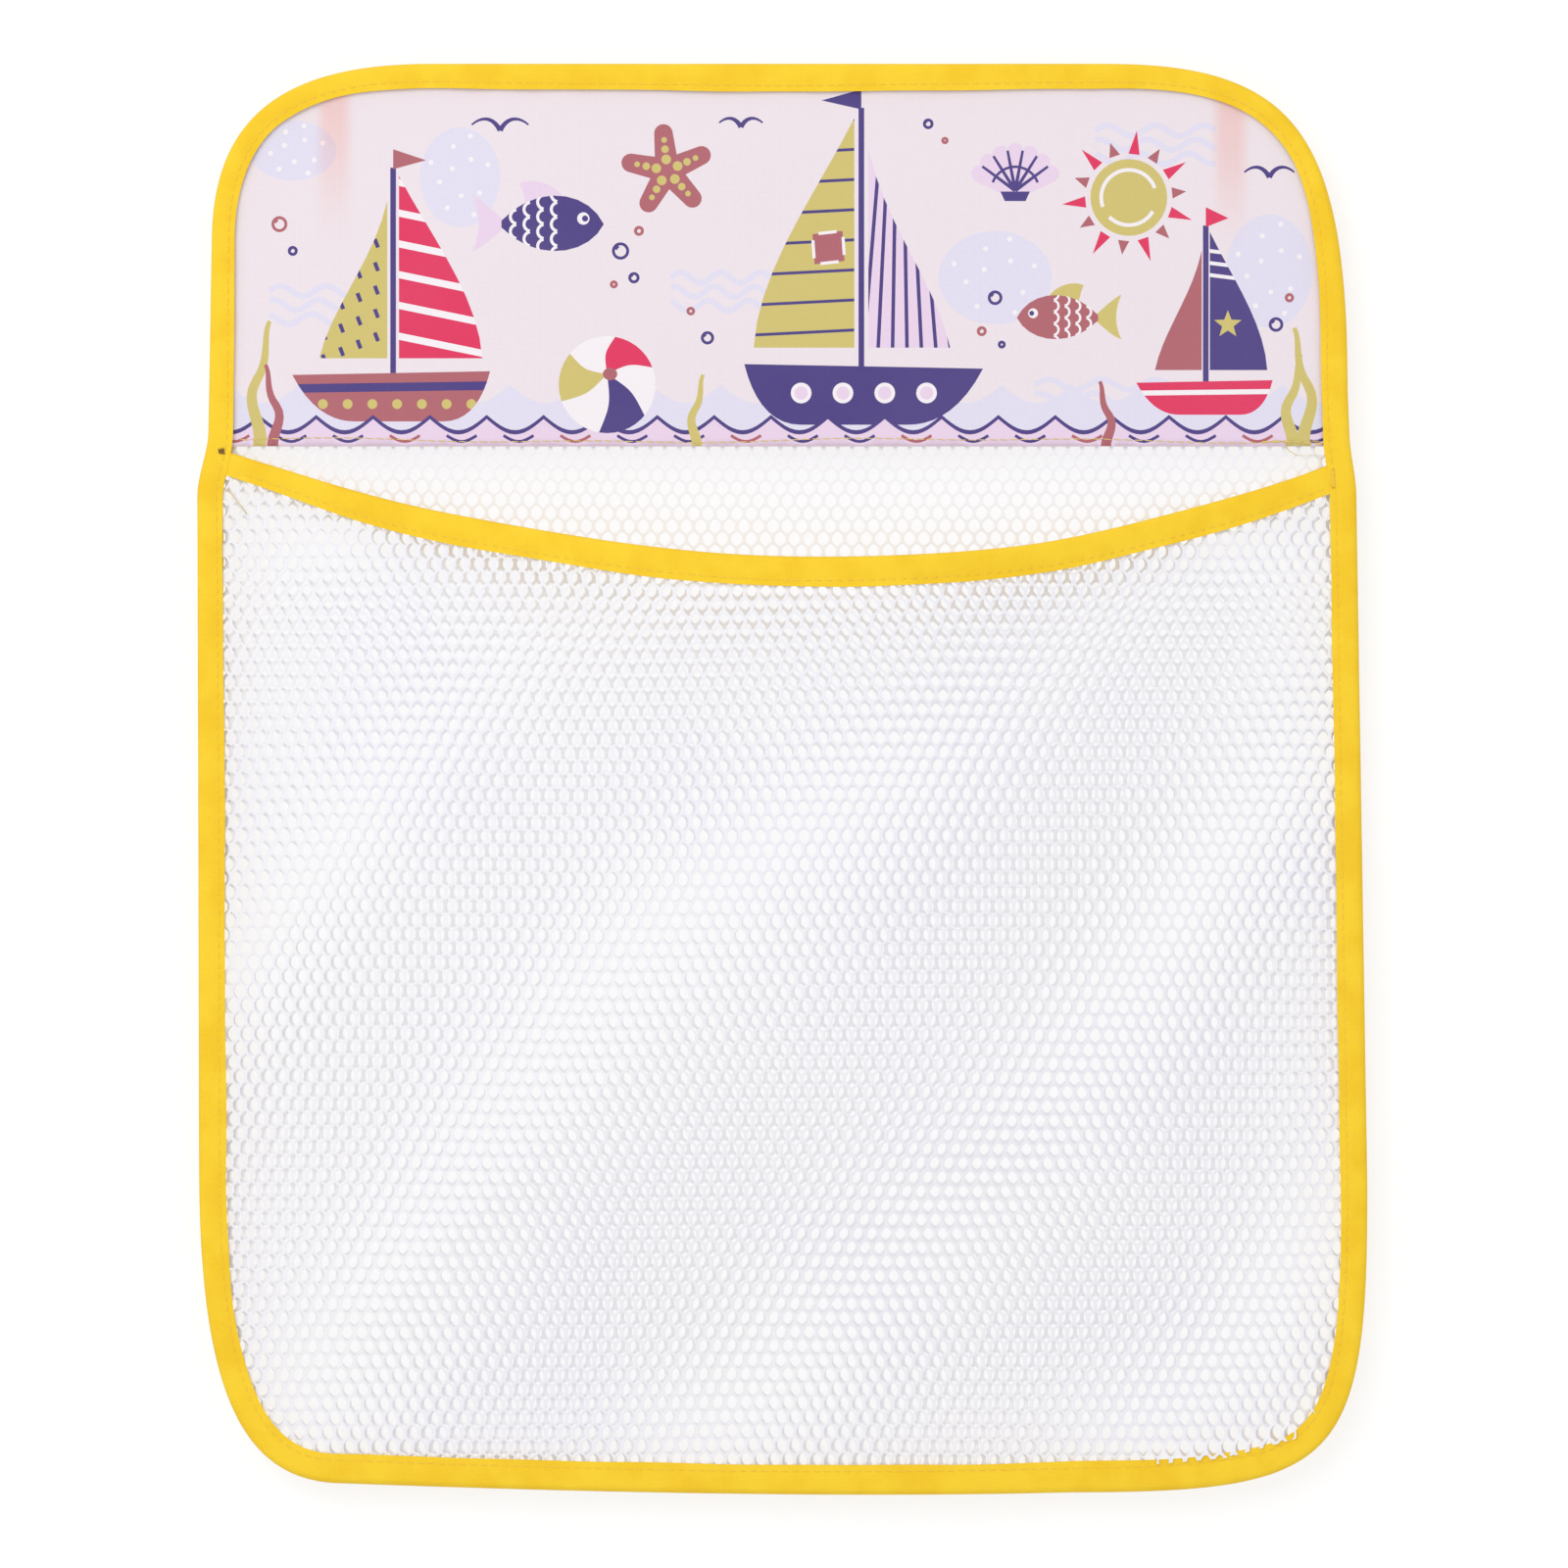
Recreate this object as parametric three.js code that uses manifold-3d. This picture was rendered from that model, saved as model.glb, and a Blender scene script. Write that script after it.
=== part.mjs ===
// Hanging bath toy organizer: a printed cloth header above a mesh back, with a mesh pocket in front of it.
// One yellow tape binds the whole edge and a second one the pocket's rim. Two loops hang behind the header.
// Millimetres, +Z up. The front faces -Y and the wall is at +Y. Depth counts forward from the binding's back.
// The origin is on the back of the top binding, at the middle of the tape's visible width.
import * as THREE from "three";
import { mergeVertices } from "three/addons/utils/BufferGeometryUtils.js";
import Module from "manifold-3d";

// Outline: half widths from the centre line, drops from the top edge
const HEIGHT = 428;
const HEADER_SIDE_DROP = 110;
const BAG_SIDE_DROP = 129;
const LEFT_HEADER_TOP = 170.3;
const LEFT_HEADER_FOOT = 171.3;
const LEFT_BAG_TOP = 174.6;
const LEFT_BAG_FOOT = 174.1;
const RIGHT_HEADER_TOP = 169.5;
const RIGHT_HEADER_FOOT = 170.0;
const RIGHT_BAG_TOP = 172.1;
const RIGHT_BAG_FOOT = 175.4;
const LEFT_TOP_CORNER_WIDE = 65.5;
const LEFT_TOP_CORNER_TALL = 53.6;
const RIGHT_TOP_CORNER_WIDE = 72.6;
const RIGHT_TOP_CORNER_TALL = 98;
const LEFT_FOOT_CORNER_WIDE = 43.3;
const LEFT_FOOT_CORNER_TALL = 95.3;
const RIGHT_FOOT_CORNER_WIDE = 88;
const RIGHT_FOOT_CORNER_TALL = 90.5;
const LEFT_TOP_CORNER_RATIO = 0.69;
const RIGHT_TOP_CORNER_RATIO = 0.79;
const LEFT_FOOT_CORNER_RATIO = 0.71;
const RIGHT_FOOT_CORNER_RATIO = 0.91;
const SHOULDER_RATIO = 0.3;
const LEFT_FOOT_RISE = 3.4;
const RIGHT_FOOT_RISE = 0.7;

// Materials: plies of tape, mesh and cloth, and the gap kept between neighbours
const TAPE_WIDTH = 20;
const TAPE_PLY = 0.5;
const MESH_PLY = 0.6;
const CLOTH_PLY = 0.4;
const THREAD = 0.5;
const CLEARANCE = 0.3;
const THREAD_CLEARANCE = 0.2;

// Header and its turned hem
const HEADER_DROP = 114.6;
const HEM = 11;
const HEM_STITCH = 1.9;
const MESH_TUCK = 9;

// Pocket: rim ends and lowest point below the top edge, and how far the pocket stands out
const LEFT_RIM_DROP = 114.4;
const RIGHT_RIM_DROP = 118.4;
const RIM_SAG = 31.3;
const RIM_LOW_OFFSET = 21;
const BELLY = 18;
const BELLY_START = 10;
const BELLY_REACH = 150;

// Hanging loops: places in from the header's sides, size and eye
const LEFT_LOOP_INSET = 36.7;
const RIGHT_LOOP_INSET = 35.1;
const LOOP_WIDTH = 8.2;
const LOOP_LENGTH = 44;
const LOOP_EYE = 6;

// Seams: inset of the edge seam, distance of the rim seam from the tape's lower edge, and the corner tacks
const EDGE_STITCH_INSET = 6.2;
const RIM_STITCH_FROM_EDGE = 1.8;
const TACK_INSET = 4.1;
const TACK_WIDE = 2.4;
const TACK_TALL = 5;

// Net gaps: spacing along a row and the strand between two gaps
const GAP_PITCH = 26;
const STRAND = 4.4;

// Facets
const CURVE_STEPS = 10;
const RIM_STEPS = 40;
const THREAD_SIDES = 6;

// Depths of the layers, from the back to the front
const BACK_MESH_BACK = TAPE_PLY + CLEARANCE;
const BACK_MESH_FRONT = BACK_MESH_BACK + MESH_PLY;
const RIM_HALF = TAPE_PLY + CLEARANCE + MESH_PLY / 2;
const POCKET_DEPTH = BACK_MESH_FRONT + CLEARANCE + RIM_HALF;
const FRONT_LIMB_BACK = POCKET_DEPTH + MESH_PLY / 2 + CLEARANCE;
const BINDING_DEPTH = FRONT_LIMB_BACK + TAPE_PLY;
const HEM_BACK = BACK_MESH_FRONT + CLEARANCE;
const HEADER_FRONT = HEM_BACK + 2 * CLOTH_PLY;
const HEADER_BACK = HEADER_FRONT - CLOTH_PLY;

// Visible widths of the tape folded in half round the edge and round the rim
const BINDING_WIDTH = TAPE_WIDTH / 2 - BINDING_DEPTH / 2;
const RIM_WIDTH = TAPE_WIDTH / 2 - RIM_HALF;
const FOLD_RADIUS = 1.4;
const SLOT_FLOOR = 1;
const PANEL_INSET = SLOT_FLOOR + CLEARANCE;
const TOP = BINDING_WIDTH / 2;

const COLOURS = { tape: 0xfed236, mesh: 0xf6f5f4, cloth: 0xeee4ea, thread: 0xf2c230 };

const wasm = await Module();
wasm.setup();

// A closed solid of a geometry, for joining and cutting.
function solidOf(geometry) {
  const bare = new THREE.BufferGeometry();
  bare.setAttribute("position", geometry.getAttribute("position"));
  if (geometry.index) bare.setIndex(geometry.index);
  const merged = mergeVertices(bare, 1e-4);
  const vertProperties = new Float32Array(merged.getAttribute("position").array);
  const triVerts = new Uint32Array(merged.index.array);
  return new wasm.Manifold(new wasm.Mesh({ numProp: 3, vertProperties, triVerts }));
}

// The geometry of a solid.
function geometryOf(solid) {
  const made = solid.getMesh();
  const geometry = new THREE.BufferGeometry();
  geometry.setAttribute("position", new THREE.BufferAttribute(new Float32Array(made.vertProperties), 3));
  geometry.setIndex(new THREE.BufferAttribute(new Uint32Array(made.triVerts), 1));
  return geometry;
}

// Skins a row of rings of equal count; a ring of rings when joined, otherwise capped at both ends.
function loft(rings, joined = false) {
  const count = rings[0].length;
  const spans = joined ? rings.length : rings.length - 1;
  const corners = [];
  const at = (ring, k) => (ring % rings.length) * count + (k % count);
  for (let i = 0; i < spans; i++) {
    for (let k = 0; k < count; k++) {
      corners.push(at(i, k), at(i, k + 1), at(i + 1, k + 1));
      corners.push(at(i, k), at(i + 1, k + 1), at(i + 1, k));
    }
  }
  if (!joined) {
    const flat = rings[0].map((p) => new THREE.Vector2(p.y, p.z));
    const last = (rings.length - 1) * count;
    for (const [a, b, c] of THREE.ShapeUtils.triangulateShape(flat, [])) {
      corners.push(a, c, b);
      corners.push(last + a, last + b, last + c);
    }
  }
  const geometry = new THREE.BufferGeometry().setFromPoints(rings.flat());
  geometry.setIndex(corners);
  return geometry;
}

// Outline of the finished edge from the front, clockwise from the left end of the top run; y is the height.
function edgeOutline() {
  const path = new THREE.Path();
  const bottom = TOP - HEIGHT;
  const leftFoot = bottom + LEFT_FOOT_RISE;
  const rightFoot = bottom + RIGHT_FOOT_RISE;
  const headerSide = TOP - HEADER_SIDE_DROP;
  const bagSide = TOP - BAG_SIDE_DROP;
  const shoulder = SHOULDER_RATIO * (headerSide - bagSide);
  path.moveTo(LEFT_TOP_CORNER_WIDE - LEFT_HEADER_TOP, TOP);
  path.lineTo(RIGHT_HEADER_TOP - RIGHT_TOP_CORNER_WIDE, TOP);
  path.bezierCurveTo(
    RIGHT_HEADER_TOP - RIGHT_TOP_CORNER_WIDE * (1 - RIGHT_TOP_CORNER_RATIO), TOP,
    RIGHT_HEADER_TOP, TOP - RIGHT_TOP_CORNER_TALL * (1 - RIGHT_TOP_CORNER_RATIO),
    RIGHT_HEADER_TOP, TOP - RIGHT_TOP_CORNER_TALL,
  );
  path.lineTo(RIGHT_HEADER_FOOT, headerSide);
  path.bezierCurveTo(
    RIGHT_HEADER_FOOT, headerSide - shoulder,
    RIGHT_BAG_TOP, bagSide + shoulder,
    RIGHT_BAG_TOP, bagSide,
  );
  path.lineTo(RIGHT_BAG_FOOT, rightFoot + RIGHT_FOOT_CORNER_TALL);
  path.bezierCurveTo(
    RIGHT_BAG_FOOT, rightFoot + RIGHT_FOOT_CORNER_TALL * (1 - RIGHT_FOOT_CORNER_RATIO),
    RIGHT_BAG_FOOT - RIGHT_FOOT_CORNER_WIDE * (1 - RIGHT_FOOT_CORNER_RATIO), rightFoot,
    RIGHT_BAG_FOOT - RIGHT_FOOT_CORNER_WIDE, rightFoot,
  );
  // The pull of this curve puts its lowest point on the bottom line
  path.quadraticCurveTo(
    0, bottom - Math.sqrt(LEFT_FOOT_RISE * RIGHT_FOOT_RISE),
    LEFT_FOOT_CORNER_WIDE - LEFT_BAG_FOOT, leftFoot,
  );
  path.bezierCurveTo(
    LEFT_FOOT_CORNER_WIDE * (1 - LEFT_FOOT_CORNER_RATIO) - LEFT_BAG_FOOT, leftFoot,
    -LEFT_BAG_FOOT, leftFoot + LEFT_FOOT_CORNER_TALL * (1 - LEFT_FOOT_CORNER_RATIO),
    -LEFT_BAG_FOOT, leftFoot + LEFT_FOOT_CORNER_TALL,
  );
  path.lineTo(-LEFT_BAG_TOP, bagSide);
  path.bezierCurveTo(
    -LEFT_BAG_TOP, bagSide + shoulder,
    -LEFT_HEADER_FOOT, headerSide - shoulder,
    -LEFT_HEADER_FOOT, headerSide,
  );
  path.lineTo(-LEFT_HEADER_TOP, TOP - LEFT_TOP_CORNER_TALL);
  path.bezierCurveTo(
    -LEFT_HEADER_TOP, TOP - LEFT_TOP_CORNER_TALL * (1 - LEFT_TOP_CORNER_RATIO),
    LEFT_TOP_CORNER_WIDE * (1 - LEFT_TOP_CORNER_RATIO) - LEFT_HEADER_TOP, TOP,
    LEFT_TOP_CORNER_WIDE - LEFT_HEADER_TOP, TOP,
  );
  return path.getPoints(CURVE_STEPS).slice(0, -1);
}

const EDGE = edgeOutline();

// The edge outline moved inwards by a distance, point for point.
function inset(distance) {
  return EDGE.map((point, i) => {
    const before = EDGE[(i + EDGE.length - 1) % EDGE.length];
    const after = EDGE[(i + 1) % EDGE.length];
    const one = point.clone().sub(before).normalize();
    const two = after.clone().sub(point).normalize();
    const inward = new THREE.Vector2(one.y + two.y, -one.x - two.x).normalize();
    const lean = inward.x * one.y - inward.y * one.x;
    return point.clone().addScaledVector(inward, distance / lean);
  });
}

// The part of a closed outline where a measure of the place isn't negative.
function clipped(points, measure) {
  const kept = [];
  points.forEach((point, i) => {
    const next = points[(i + 1) % points.length];
    const a = measure(point);
    const b = measure(next);
    if (a >= 0) kept.push(point);
    if (a * b < 0) kept.push(point.clone().lerp(next, a / (a - b)));
  });
  return kept;
}

const under = (points, height) => clipped(points, (p) => height - p.y);
const over = (points, height) => clipped(points, (p) => p.y - height);

// Whether a point lies inside a closed outline.
function holds(points, p) {
  let inside = false;
  points.forEach((a, i) => {
    const b = points[(i + 1) % points.length];
    if (a.y > p.y !== b.y > p.y && p.x < a.x + ((p.y - a.y) / (b.y - a.y)) * (b.x - a.x)) inside = !inside;
  });
  return inside;
}

// Least distance from a point to a closed outline.
function distanceTo(points, p) {
  const from = new THREE.Vector3(p.x, p.y, 0);
  const foot = new THREE.Vector3();
  const distances = points.map((a, i) => {
    const b = points[(i + 1) % points.length];
    const side = new THREE.Line3(new THREE.Vector3(a.x, a.y, 0), new THREE.Vector3(b.x, b.y, 0));
    return side.closestPointToPoint(from, true, foot).distanceTo(from);
  });
  return Math.min(...distances);
}

// Places where a closed outline crosses a level of one axis, as the other axis's values in rising order.
function crossings(points, axis, level) {
  const other = axis === "x" ? "y" : "x";
  const found = points.flatMap((a, i) => {
    const b = points[(i + 1) % points.length];
    if (a[axis] > level === b[axis] > level) return [];
    return [a[other] + ((level - a[axis]) / (b[axis] - a[axis])) * (b[other] - a[other])];
  });
  return found.sort((one, two) => one - two);
}

const topHeight = (points, x) => crossings(points, "x", x).at(-1);
const leftEnd = (points, z) => crossings(points, "y", z)[0];
const rightEnd = (points, z) => crossings(points, "y", z).at(-1);

// A flat piece of an outline between two depths.
function slab(points, back, front, gaps = []) {
  const shape = new THREE.Shape(points);
  shape.holes = gaps.map((gap) => new THREE.Path(gap));
  const geometry = new THREE.ExtrudeGeometry(shape, { depth: front - back, bevelEnabled: false });
  return geometry.rotateX(Math.PI / 2).translate(0, -back, 0);
}

// A closed ribbon of the binding's section along the edge, or of a thread along its seam.
function alongEdge(section) {
  const rows = section.map(([distance, depth]) =>
    inset(distance).map((p) => new THREE.Vector3(p.x, -depth, p.y)),
  );
  return loft(EDGE.map((_, i) => rows.map((row) => row[i])), true);
}

// Six-sided gaps in rows, each wholly inside an outline.
function gapsInside(points) {
  const reach = (GAP_PITCH - STRAND) / Math.sqrt(3);
  const row = GAP_PITCH * Math.sqrt(0.75);
  const box = new THREE.Box2().setFromPoints(points);
  const rows = Math.floor((box.max.y - box.min.y) / row);
  const columns = Math.ceil(box.max.x / GAP_PITCH) + 1;
  const gaps = [];
  for (let r = 0; r <= rows; r++) {
    for (let c = -columns; c <= columns; c++) {
      const middle = new THREE.Vector2((c + (r % 2) / 2) * GAP_PITCH, box.max.y - reach - r * row);
      const gap = [...Array(6).keys()].map((k) => {
        const turn = Math.PI / 2 + (k * Math.PI) / 3;
        return new THREE.Vector2(middle.x + reach * Math.cos(turn), middle.y + reach * Math.sin(turn));
      });
      if (gap.every((p) => holds(points, p))) gaps.push(gap);
    }
  }
  return gaps;
}

const OPEN_AREA = inset(BINDING_WIDTH);

// Rim of the pocket: the upper edge of its tape, from the left end to the right end
const rimLeftZ = TOP - LEFT_RIM_DROP;
const rimRightZ = TOP - RIGHT_RIM_DROP;
const rimLeftX = -LEFT_BAG_TOP + PANEL_INSET;
const rimRightX = RIGHT_BAG_TOP - PANEL_INSET;
const rimCurve = new THREE.QuadraticBezierCurve(
  new THREE.Vector2(rimLeftX, rimLeftZ),
  new THREE.Vector2(RIM_LOW_OFFSET, (rimLeftZ + rimRightZ) / 2 - 2 * RIM_SAG),
  new THREE.Vector2(rimRightX, rimRightZ),
);
const RIM = rimCurve.getPoints(RIM_STEPS);
const RIM_STEEPNESS = RIM.map((_, i) => {
  const along = rimCurve.getTangent(i / RIM_STEPS);
  return 1 / Math.abs(along.x);
});

// The rim's curve moved down across its own run.
const rimLowered = (distance) => RIM.map((p, i) => new THREE.Vector2(p.x, p.y - distance * RIM_STEEPNESS[i]));

// Outline of the pocket between the edge and the rim, at an inset and a distance under the rim.
function pocketOutline(edgeInset, rimDistance) {
  const rim = rimLowered(rimDistance);
  const first = rim[0];
  const last = rim[rim.length - 1];
  const chord = (x) => first.y + ((x - first.x) / (last.x - first.x)) * (last.y - first.y);
  const sides = clipped(inset(edgeInset), (p) => chord(p.x) - p.y);
  const reach = new THREE.Box2().setFromPoints(sides);
  const between = rim.filter((p) => p.x > reach.min.x + CLEARANCE && p.x < reach.max.x - CLEARANCE);
  return [...sides, ...between.filter((p) => holds(sides, p))];
}

// How far the pocket stands out in front of its seam at a place on the front.
function belly(x, z) {
  const place = new THREE.Vector2(x, z);
  if (!holds(OPEN_AREA, place)) return 0;
  return BELLY * THREE.MathUtils.smoothstep(distanceTo(OPEN_AREA, place), BELLY_START, BELLY_REACH);
}

// Swaps the shared sides of flat triangles until each is as compact as its neighbours allow.
function compact(points, triangles) {
  const cotangent = (a, b, c) => {
    const one = points[a].clone().sub(points[c]);
    const two = points[b].clone().sub(points[c]);
    return one.dot(two) / Math.abs(one.cross(two));
  };
  let swaps = 1;
  while (swaps > 0) {
    swaps = 0;
    const owner = new Map();
    triangles.forEach(([a, b, c], t) => {
      [[a, b, c], [b, c, a], [c, a, b]].forEach(([from, to, apex]) => owner.set(from + "," + to, [t, apex]));
    });
    const moved = new Set();
    for (const [side, [t, c]] of owner) {
      const [a, b] = side.split(",").map(Number);
      const [other, d] = owner.get(b + "," + a) ?? [t, c];
      if (other === t || moved.has(t) || moved.has(other)) continue;
      if (cotangent(a, b, c) + cotangent(a, b, d) > -1e-9) continue;
      triangles[t] = [c, a, d];
      triangles[other] = [d, b, c];
      moved.add(t).add(other);
      swaps += 1;
    }
  }
}

// A net of an outline and its gaps, standing out with the pocket about a depth.
function bellied(outline, gaps, depth) {
  const shape = new THREE.Shape(outline);
  shape.holes = gaps.map((gap) => new THREE.Path(gap));
  const flat = new THREE.ShapeGeometry(shape);
  const place = flat.getAttribute("position");
  const points = [...Array(place.count).keys()].map((i) => new THREE.Vector2(place.getX(i), place.getY(i)));
  const index = flat.index.array;
  const triangles = [];
  for (let t = 0; t < index.length; t += 3) triangles.push([...index.slice(t, t + 3)]);
  compact(points, triangles);
  const ply = (offset) => points.map((p) => new THREE.Vector3(p.x, -depth - offset - belly(p.x, p.y), p.y));
  const sides = new Set(triangles.flatMap(([a, b, c]) => [a + "," + b, b + "," + c, c + "," + a]));
  const far = place.count;
  const corners = triangles.flatMap(([a, b, c]) => [a, b, c, c + far, b + far, a + far]);
  for (const side of sides) {
    const [a, b] = side.split(",").map(Number);
    if (!sides.has(b + "," + a)) corners.push(b, a, a + far, b, a + far, b + far);
  }
  const geometry = new THREE.BufferGeometry().setFromPoints([...ply(MESH_PLY / 2), ...ply(-MESH_PLY / 2)]);
  return geometry.setIndex(corners);
}

// A run of the rim's section: distances down from the rim's upper edge, and depths from the pocket's middle.
function alongRim(section) {
  const rows = section.map(([distance, depth]) =>
    rimLowered(distance).map((p) => new THREE.Vector3(p.x, -POCKET_DEPTH - depth - belly(p.x, p.y), p.y)),
  );
  return loft(RIM.map((_, i) => rows.map((row) => row[i])));
}

// A folded tape's section: an outer face rounded at the fold, and a slot open at the far side.
function foldedTape(width, depth, radius, floor, back) {
  const nip = radius * (1 - Math.SQRT1_2);
  const front = back + depth;
  return [
    [width, back],
    [radius, back],
    [nip, back + nip],
    [0, back + radius],
    [0, front - radius],
    [nip, front - nip],
    [radius, front],
    [width, front],
    [width, front - TAPE_PLY],
    [floor, front - TAPE_PLY],
    [floor, back + TAPE_PLY],
    [width, back + TAPE_PLY],
  ];
}

// A round thread's section.
function threadSection(distance, depth) {
  return [...Array(THREAD_SIDES).keys()].map((k) => {
    const turn = (-2 * Math.PI * k) / THREAD_SIDES;
    return [distance + (THREAD / 2) * Math.cos(turn), depth + (THREAD / 2) * Math.sin(turn)];
  });
}

// A hanging loop in side view, from its fold at the origin to its bight: two plies, then an open eye behind.
function loopProfile(neck) {
  const ply = TAPE_PLY;
  const bight = LOOP_LENGTH - LOOP_EYE / 2 - ply;
  const shape = new THREE.Shape();
  shape.moveTo(-ply, 0);
  shape.lineTo(-ply, -bight);
  shape.absarc(LOOP_EYE / 2, -bight, LOOP_EYE / 2 + ply, Math.PI, 2 * Math.PI, false);
  shape.bezierCurveTo(LOOP_EYE + ply, -bight * 0.7, ply, -bight * 0.5, ply, -neck);
  shape.lineTo(ply, 0);
  shape.absarc(0, 0, ply, 0, Math.PI, false);
  const eye = new THREE.Path();
  eye.moveTo(0, -neck - ply);
  eye.bezierCurveTo(0, -bight * 0.5 - ply, LOOP_EYE, -bight * 0.7, LOOP_EYE, -bight);
  eye.absarc(LOOP_EYE / 2, -bight, LOOP_EYE / 2, 2 * Math.PI, Math.PI, true);
  shape.holes.push(eye);
  return shape;
}

// A side view pushed along x about a middle; the profile's x runs to the back and its y runs up.
function acrossX(shape, width, middle) {
  const options = { depth: width, bevelEnabled: false, curveSegments: CURVE_STEPS };
  const geometry = new THREE.ExtrudeGeometry(shape, options);
  const turn = new THREE.Matrix4().makeBasis(
    new THREE.Vector3(0, 1, 0),
    new THREE.Vector3(0, 0, 1),
    new THREE.Vector3(1, 0, 0),
  );
  return geometry.applyMatrix4(turn).translate(middle - width / 2, 0, 0);
}

const group = new THREE.Group();

// Adds a named piece with its own material.
function add(name, geometry, colour, roughness) {
  const material = new THREE.MeshStandardMaterial({ color: colour, roughness, metalness: 0 });
  const mesh = new THREE.Mesh(geometry, material);
  mesh.name = name;
  group.add(mesh);
}

// Header: one ply of cloth, doubled at the turned hem
const headerFoot = TOP - HEADER_DROP;
const panel = inset(PANEL_INSET);
const headerShape = over(panel, headerFoot);
const sheet = slab(headerShape, HEADER_BACK, HEADER_FRONT);
const hem = slab(under(headerShape, headerFoot + HEM), HEM_BACK, HEADER_BACK + CLOTH_PLY / 2);
add("header_panel", geometryOf(solidOf(sheet).add(solidOf(hem))), COLOURS.cloth, 0.85);

// Back: flat mesh from under the hem to the bottom edge
const backTop = headerFoot + MESH_TUCK;
const backOpen = under(inset(BINDING_WIDTH + STRAND), headerFoot - STRAND);
const backMesh = slab(under(panel, backTop), BACK_MESH_BACK, BACK_MESH_FRONT, gapsInside(backOpen));
add("back_mesh", backMesh, COLOURS.mesh, 0.8);

// Pocket: mesh from inside the rim's tape to the bottom edge, standing out in front
const pocketOpen = pocketOutline(BINDING_WIDTH + STRAND, RIM_WIDTH + STRAND);
const pocketShape = pocketOutline(PANEL_INSET, PANEL_INSET);
add("pocket_mesh", bellied(pocketShape, gapsInside(pocketOpen), POCKET_DEPTH), COLOURS.mesh, 0.8);

// Tape folded round the whole edge
const edgeSection = foldedTape(BINDING_WIDTH, BINDING_DEPTH, FOLD_RADIUS, SLOT_FLOOR, 0);
add("edge_binding", alongEdge(edgeSection), COLOURS.tape, 0.75);

// Tape folded over the pocket's rim, ending at the edge binding
const rimSection = foldedTape(RIM_WIDTH, 2 * RIM_HALF, RIM_HALF, SLOT_FLOOR, -RIM_HALF);
const rimRoom = solidOf(slab(inset(BINDING_WIDTH + CLEARANCE), -BELLY, POCKET_DEPTH + 2 * BELLY));
add("rim_binding", geometryOf(solidOf(alongRim(rimSection)).intersect(rimRoom)), COLOURS.tape, 0.75);

// Hanging loops, folded down behind the header, and their ends sewn into the edge binding
function addLoop(side, middle) {
  const ends = [middle - LOOP_WIDTH / 2, middle + LOOP_WIDTH / 2];
  const innerEdge = Math.min(...ends.map((x) => topHeight(OPEN_AREA, x)));
  const outerEdge = Math.max(...ends.map((x) => topHeight(EDGE, x)));
  const seat = Math.min(...ends.map((x) => topHeight(panel, x)));
  const foldZ = innerEdge - CLEARANCE - TAPE_PLY;
  const foldY = CLEARANCE + TAPE_PLY;
  const loop = acrossX(loopProfile(outerEdge - foldZ + CLEARANCE), LOOP_WIDTH, middle);
  add(side + "_loop", loop.translate(0, foldY, foldZ), COLOURS.tape, 0.75);
  const tailBack = -BACK_MESH_BACK;
  const tailFront = tailBack - 2 * TAPE_PLY;
  const tail = new THREE.Shape([
    new THREE.Vector2(tailFront, foldZ - TAPE_PLY),
    new THREE.Vector2(0, foldZ - TAPE_PLY),
    new THREE.Vector2(0, foldZ + TAPE_PLY),
    new THREE.Vector2(tailBack, foldZ + TAPE_PLY),
    new THREE.Vector2(tailBack, seat),
    new THREE.Vector2(tailFront, seat),
  ]);
  add(side + "_loop_tail", acrossX(tail, LOOP_WIDTH, middle), COLOURS.tape, 0.75);
}
addLoop("left", LEFT_LOOP_INSET - LEFT_HEADER_TOP);
addLoop("right", RIGHT_HEADER_TOP - RIGHT_LOOP_INSET);

// Seams: thread along the hem, round the edge binding and along the rim
const threadOut = THREAD_CLEARANCE + THREAD / 2;
const hemZ = headerFoot + HEM_STITCH;
const hemLeft = leftEnd(OPEN_AREA, hemZ) + 2 * CLEARANCE;
const hemRight = rightEnd(OPEN_AREA, hemZ) - 2 * CLEARANCE;
const hemThread = new THREE.CylinderGeometry(THREAD / 2, THREAD / 2, hemRight - hemLeft, THREAD_SIDES);
hemThread.rotateZ(Math.PI / 2).translate((hemLeft + hemRight) / 2, -HEADER_FRONT - threadOut, hemZ);
add("hem_thread", hemThread, COLOURS.thread, 0.6);
const edgeSeam = alongEdge(threadSection(EDGE_STITCH_INSET, BINDING_DEPTH + threadOut));
add("edge_thread", edgeSeam, COLOURS.thread, 0.6);
const rimSeam = alongRim(threadSection(RIM_WIDTH - RIM_STITCH_FROM_EDGE, RIM_HALF + threadOut));
add("rim_thread", geometryOf(solidOf(rimSeam).intersect(rimRoom)), COLOURS.thread, 0.6);

// Tacks sewn on the edge binding where the rim ends
function addTack(side, x, z) {
  const tack = new THREE.BoxGeometry(TACK_WIDE, THREAD, TACK_TALL);
  add(side + "_rim_tack", tack.translate(x, -BINDING_DEPTH - threadOut, z), COLOURS.thread, 0.6);
}
const leftTackZ = rimLeftZ - RIM_WIDTH / 2;
const rightTackZ = rimRightZ - RIM_WIDTH / 2;
addTack("left", leftEnd(EDGE, leftTackZ) + TACK_INSET, leftTackZ);
addTack("right", rightEnd(EDGE, rightTackZ) - TACK_INSET, rightTackZ);

export default group;
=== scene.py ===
"""Bath toy organizer: printed header, knitted nets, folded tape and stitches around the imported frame."""

import math

import bmesh
import bpy
import numpy as np
from bpy.props import FloatProperty, FloatVectorProperty, PointerProperty
from mathutils import Matrix, Vector, noise
from mathutils.geometry import delaunay_2d_cdt, interpolate_bezier
from mathutils.kdtree import KDTree


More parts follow.
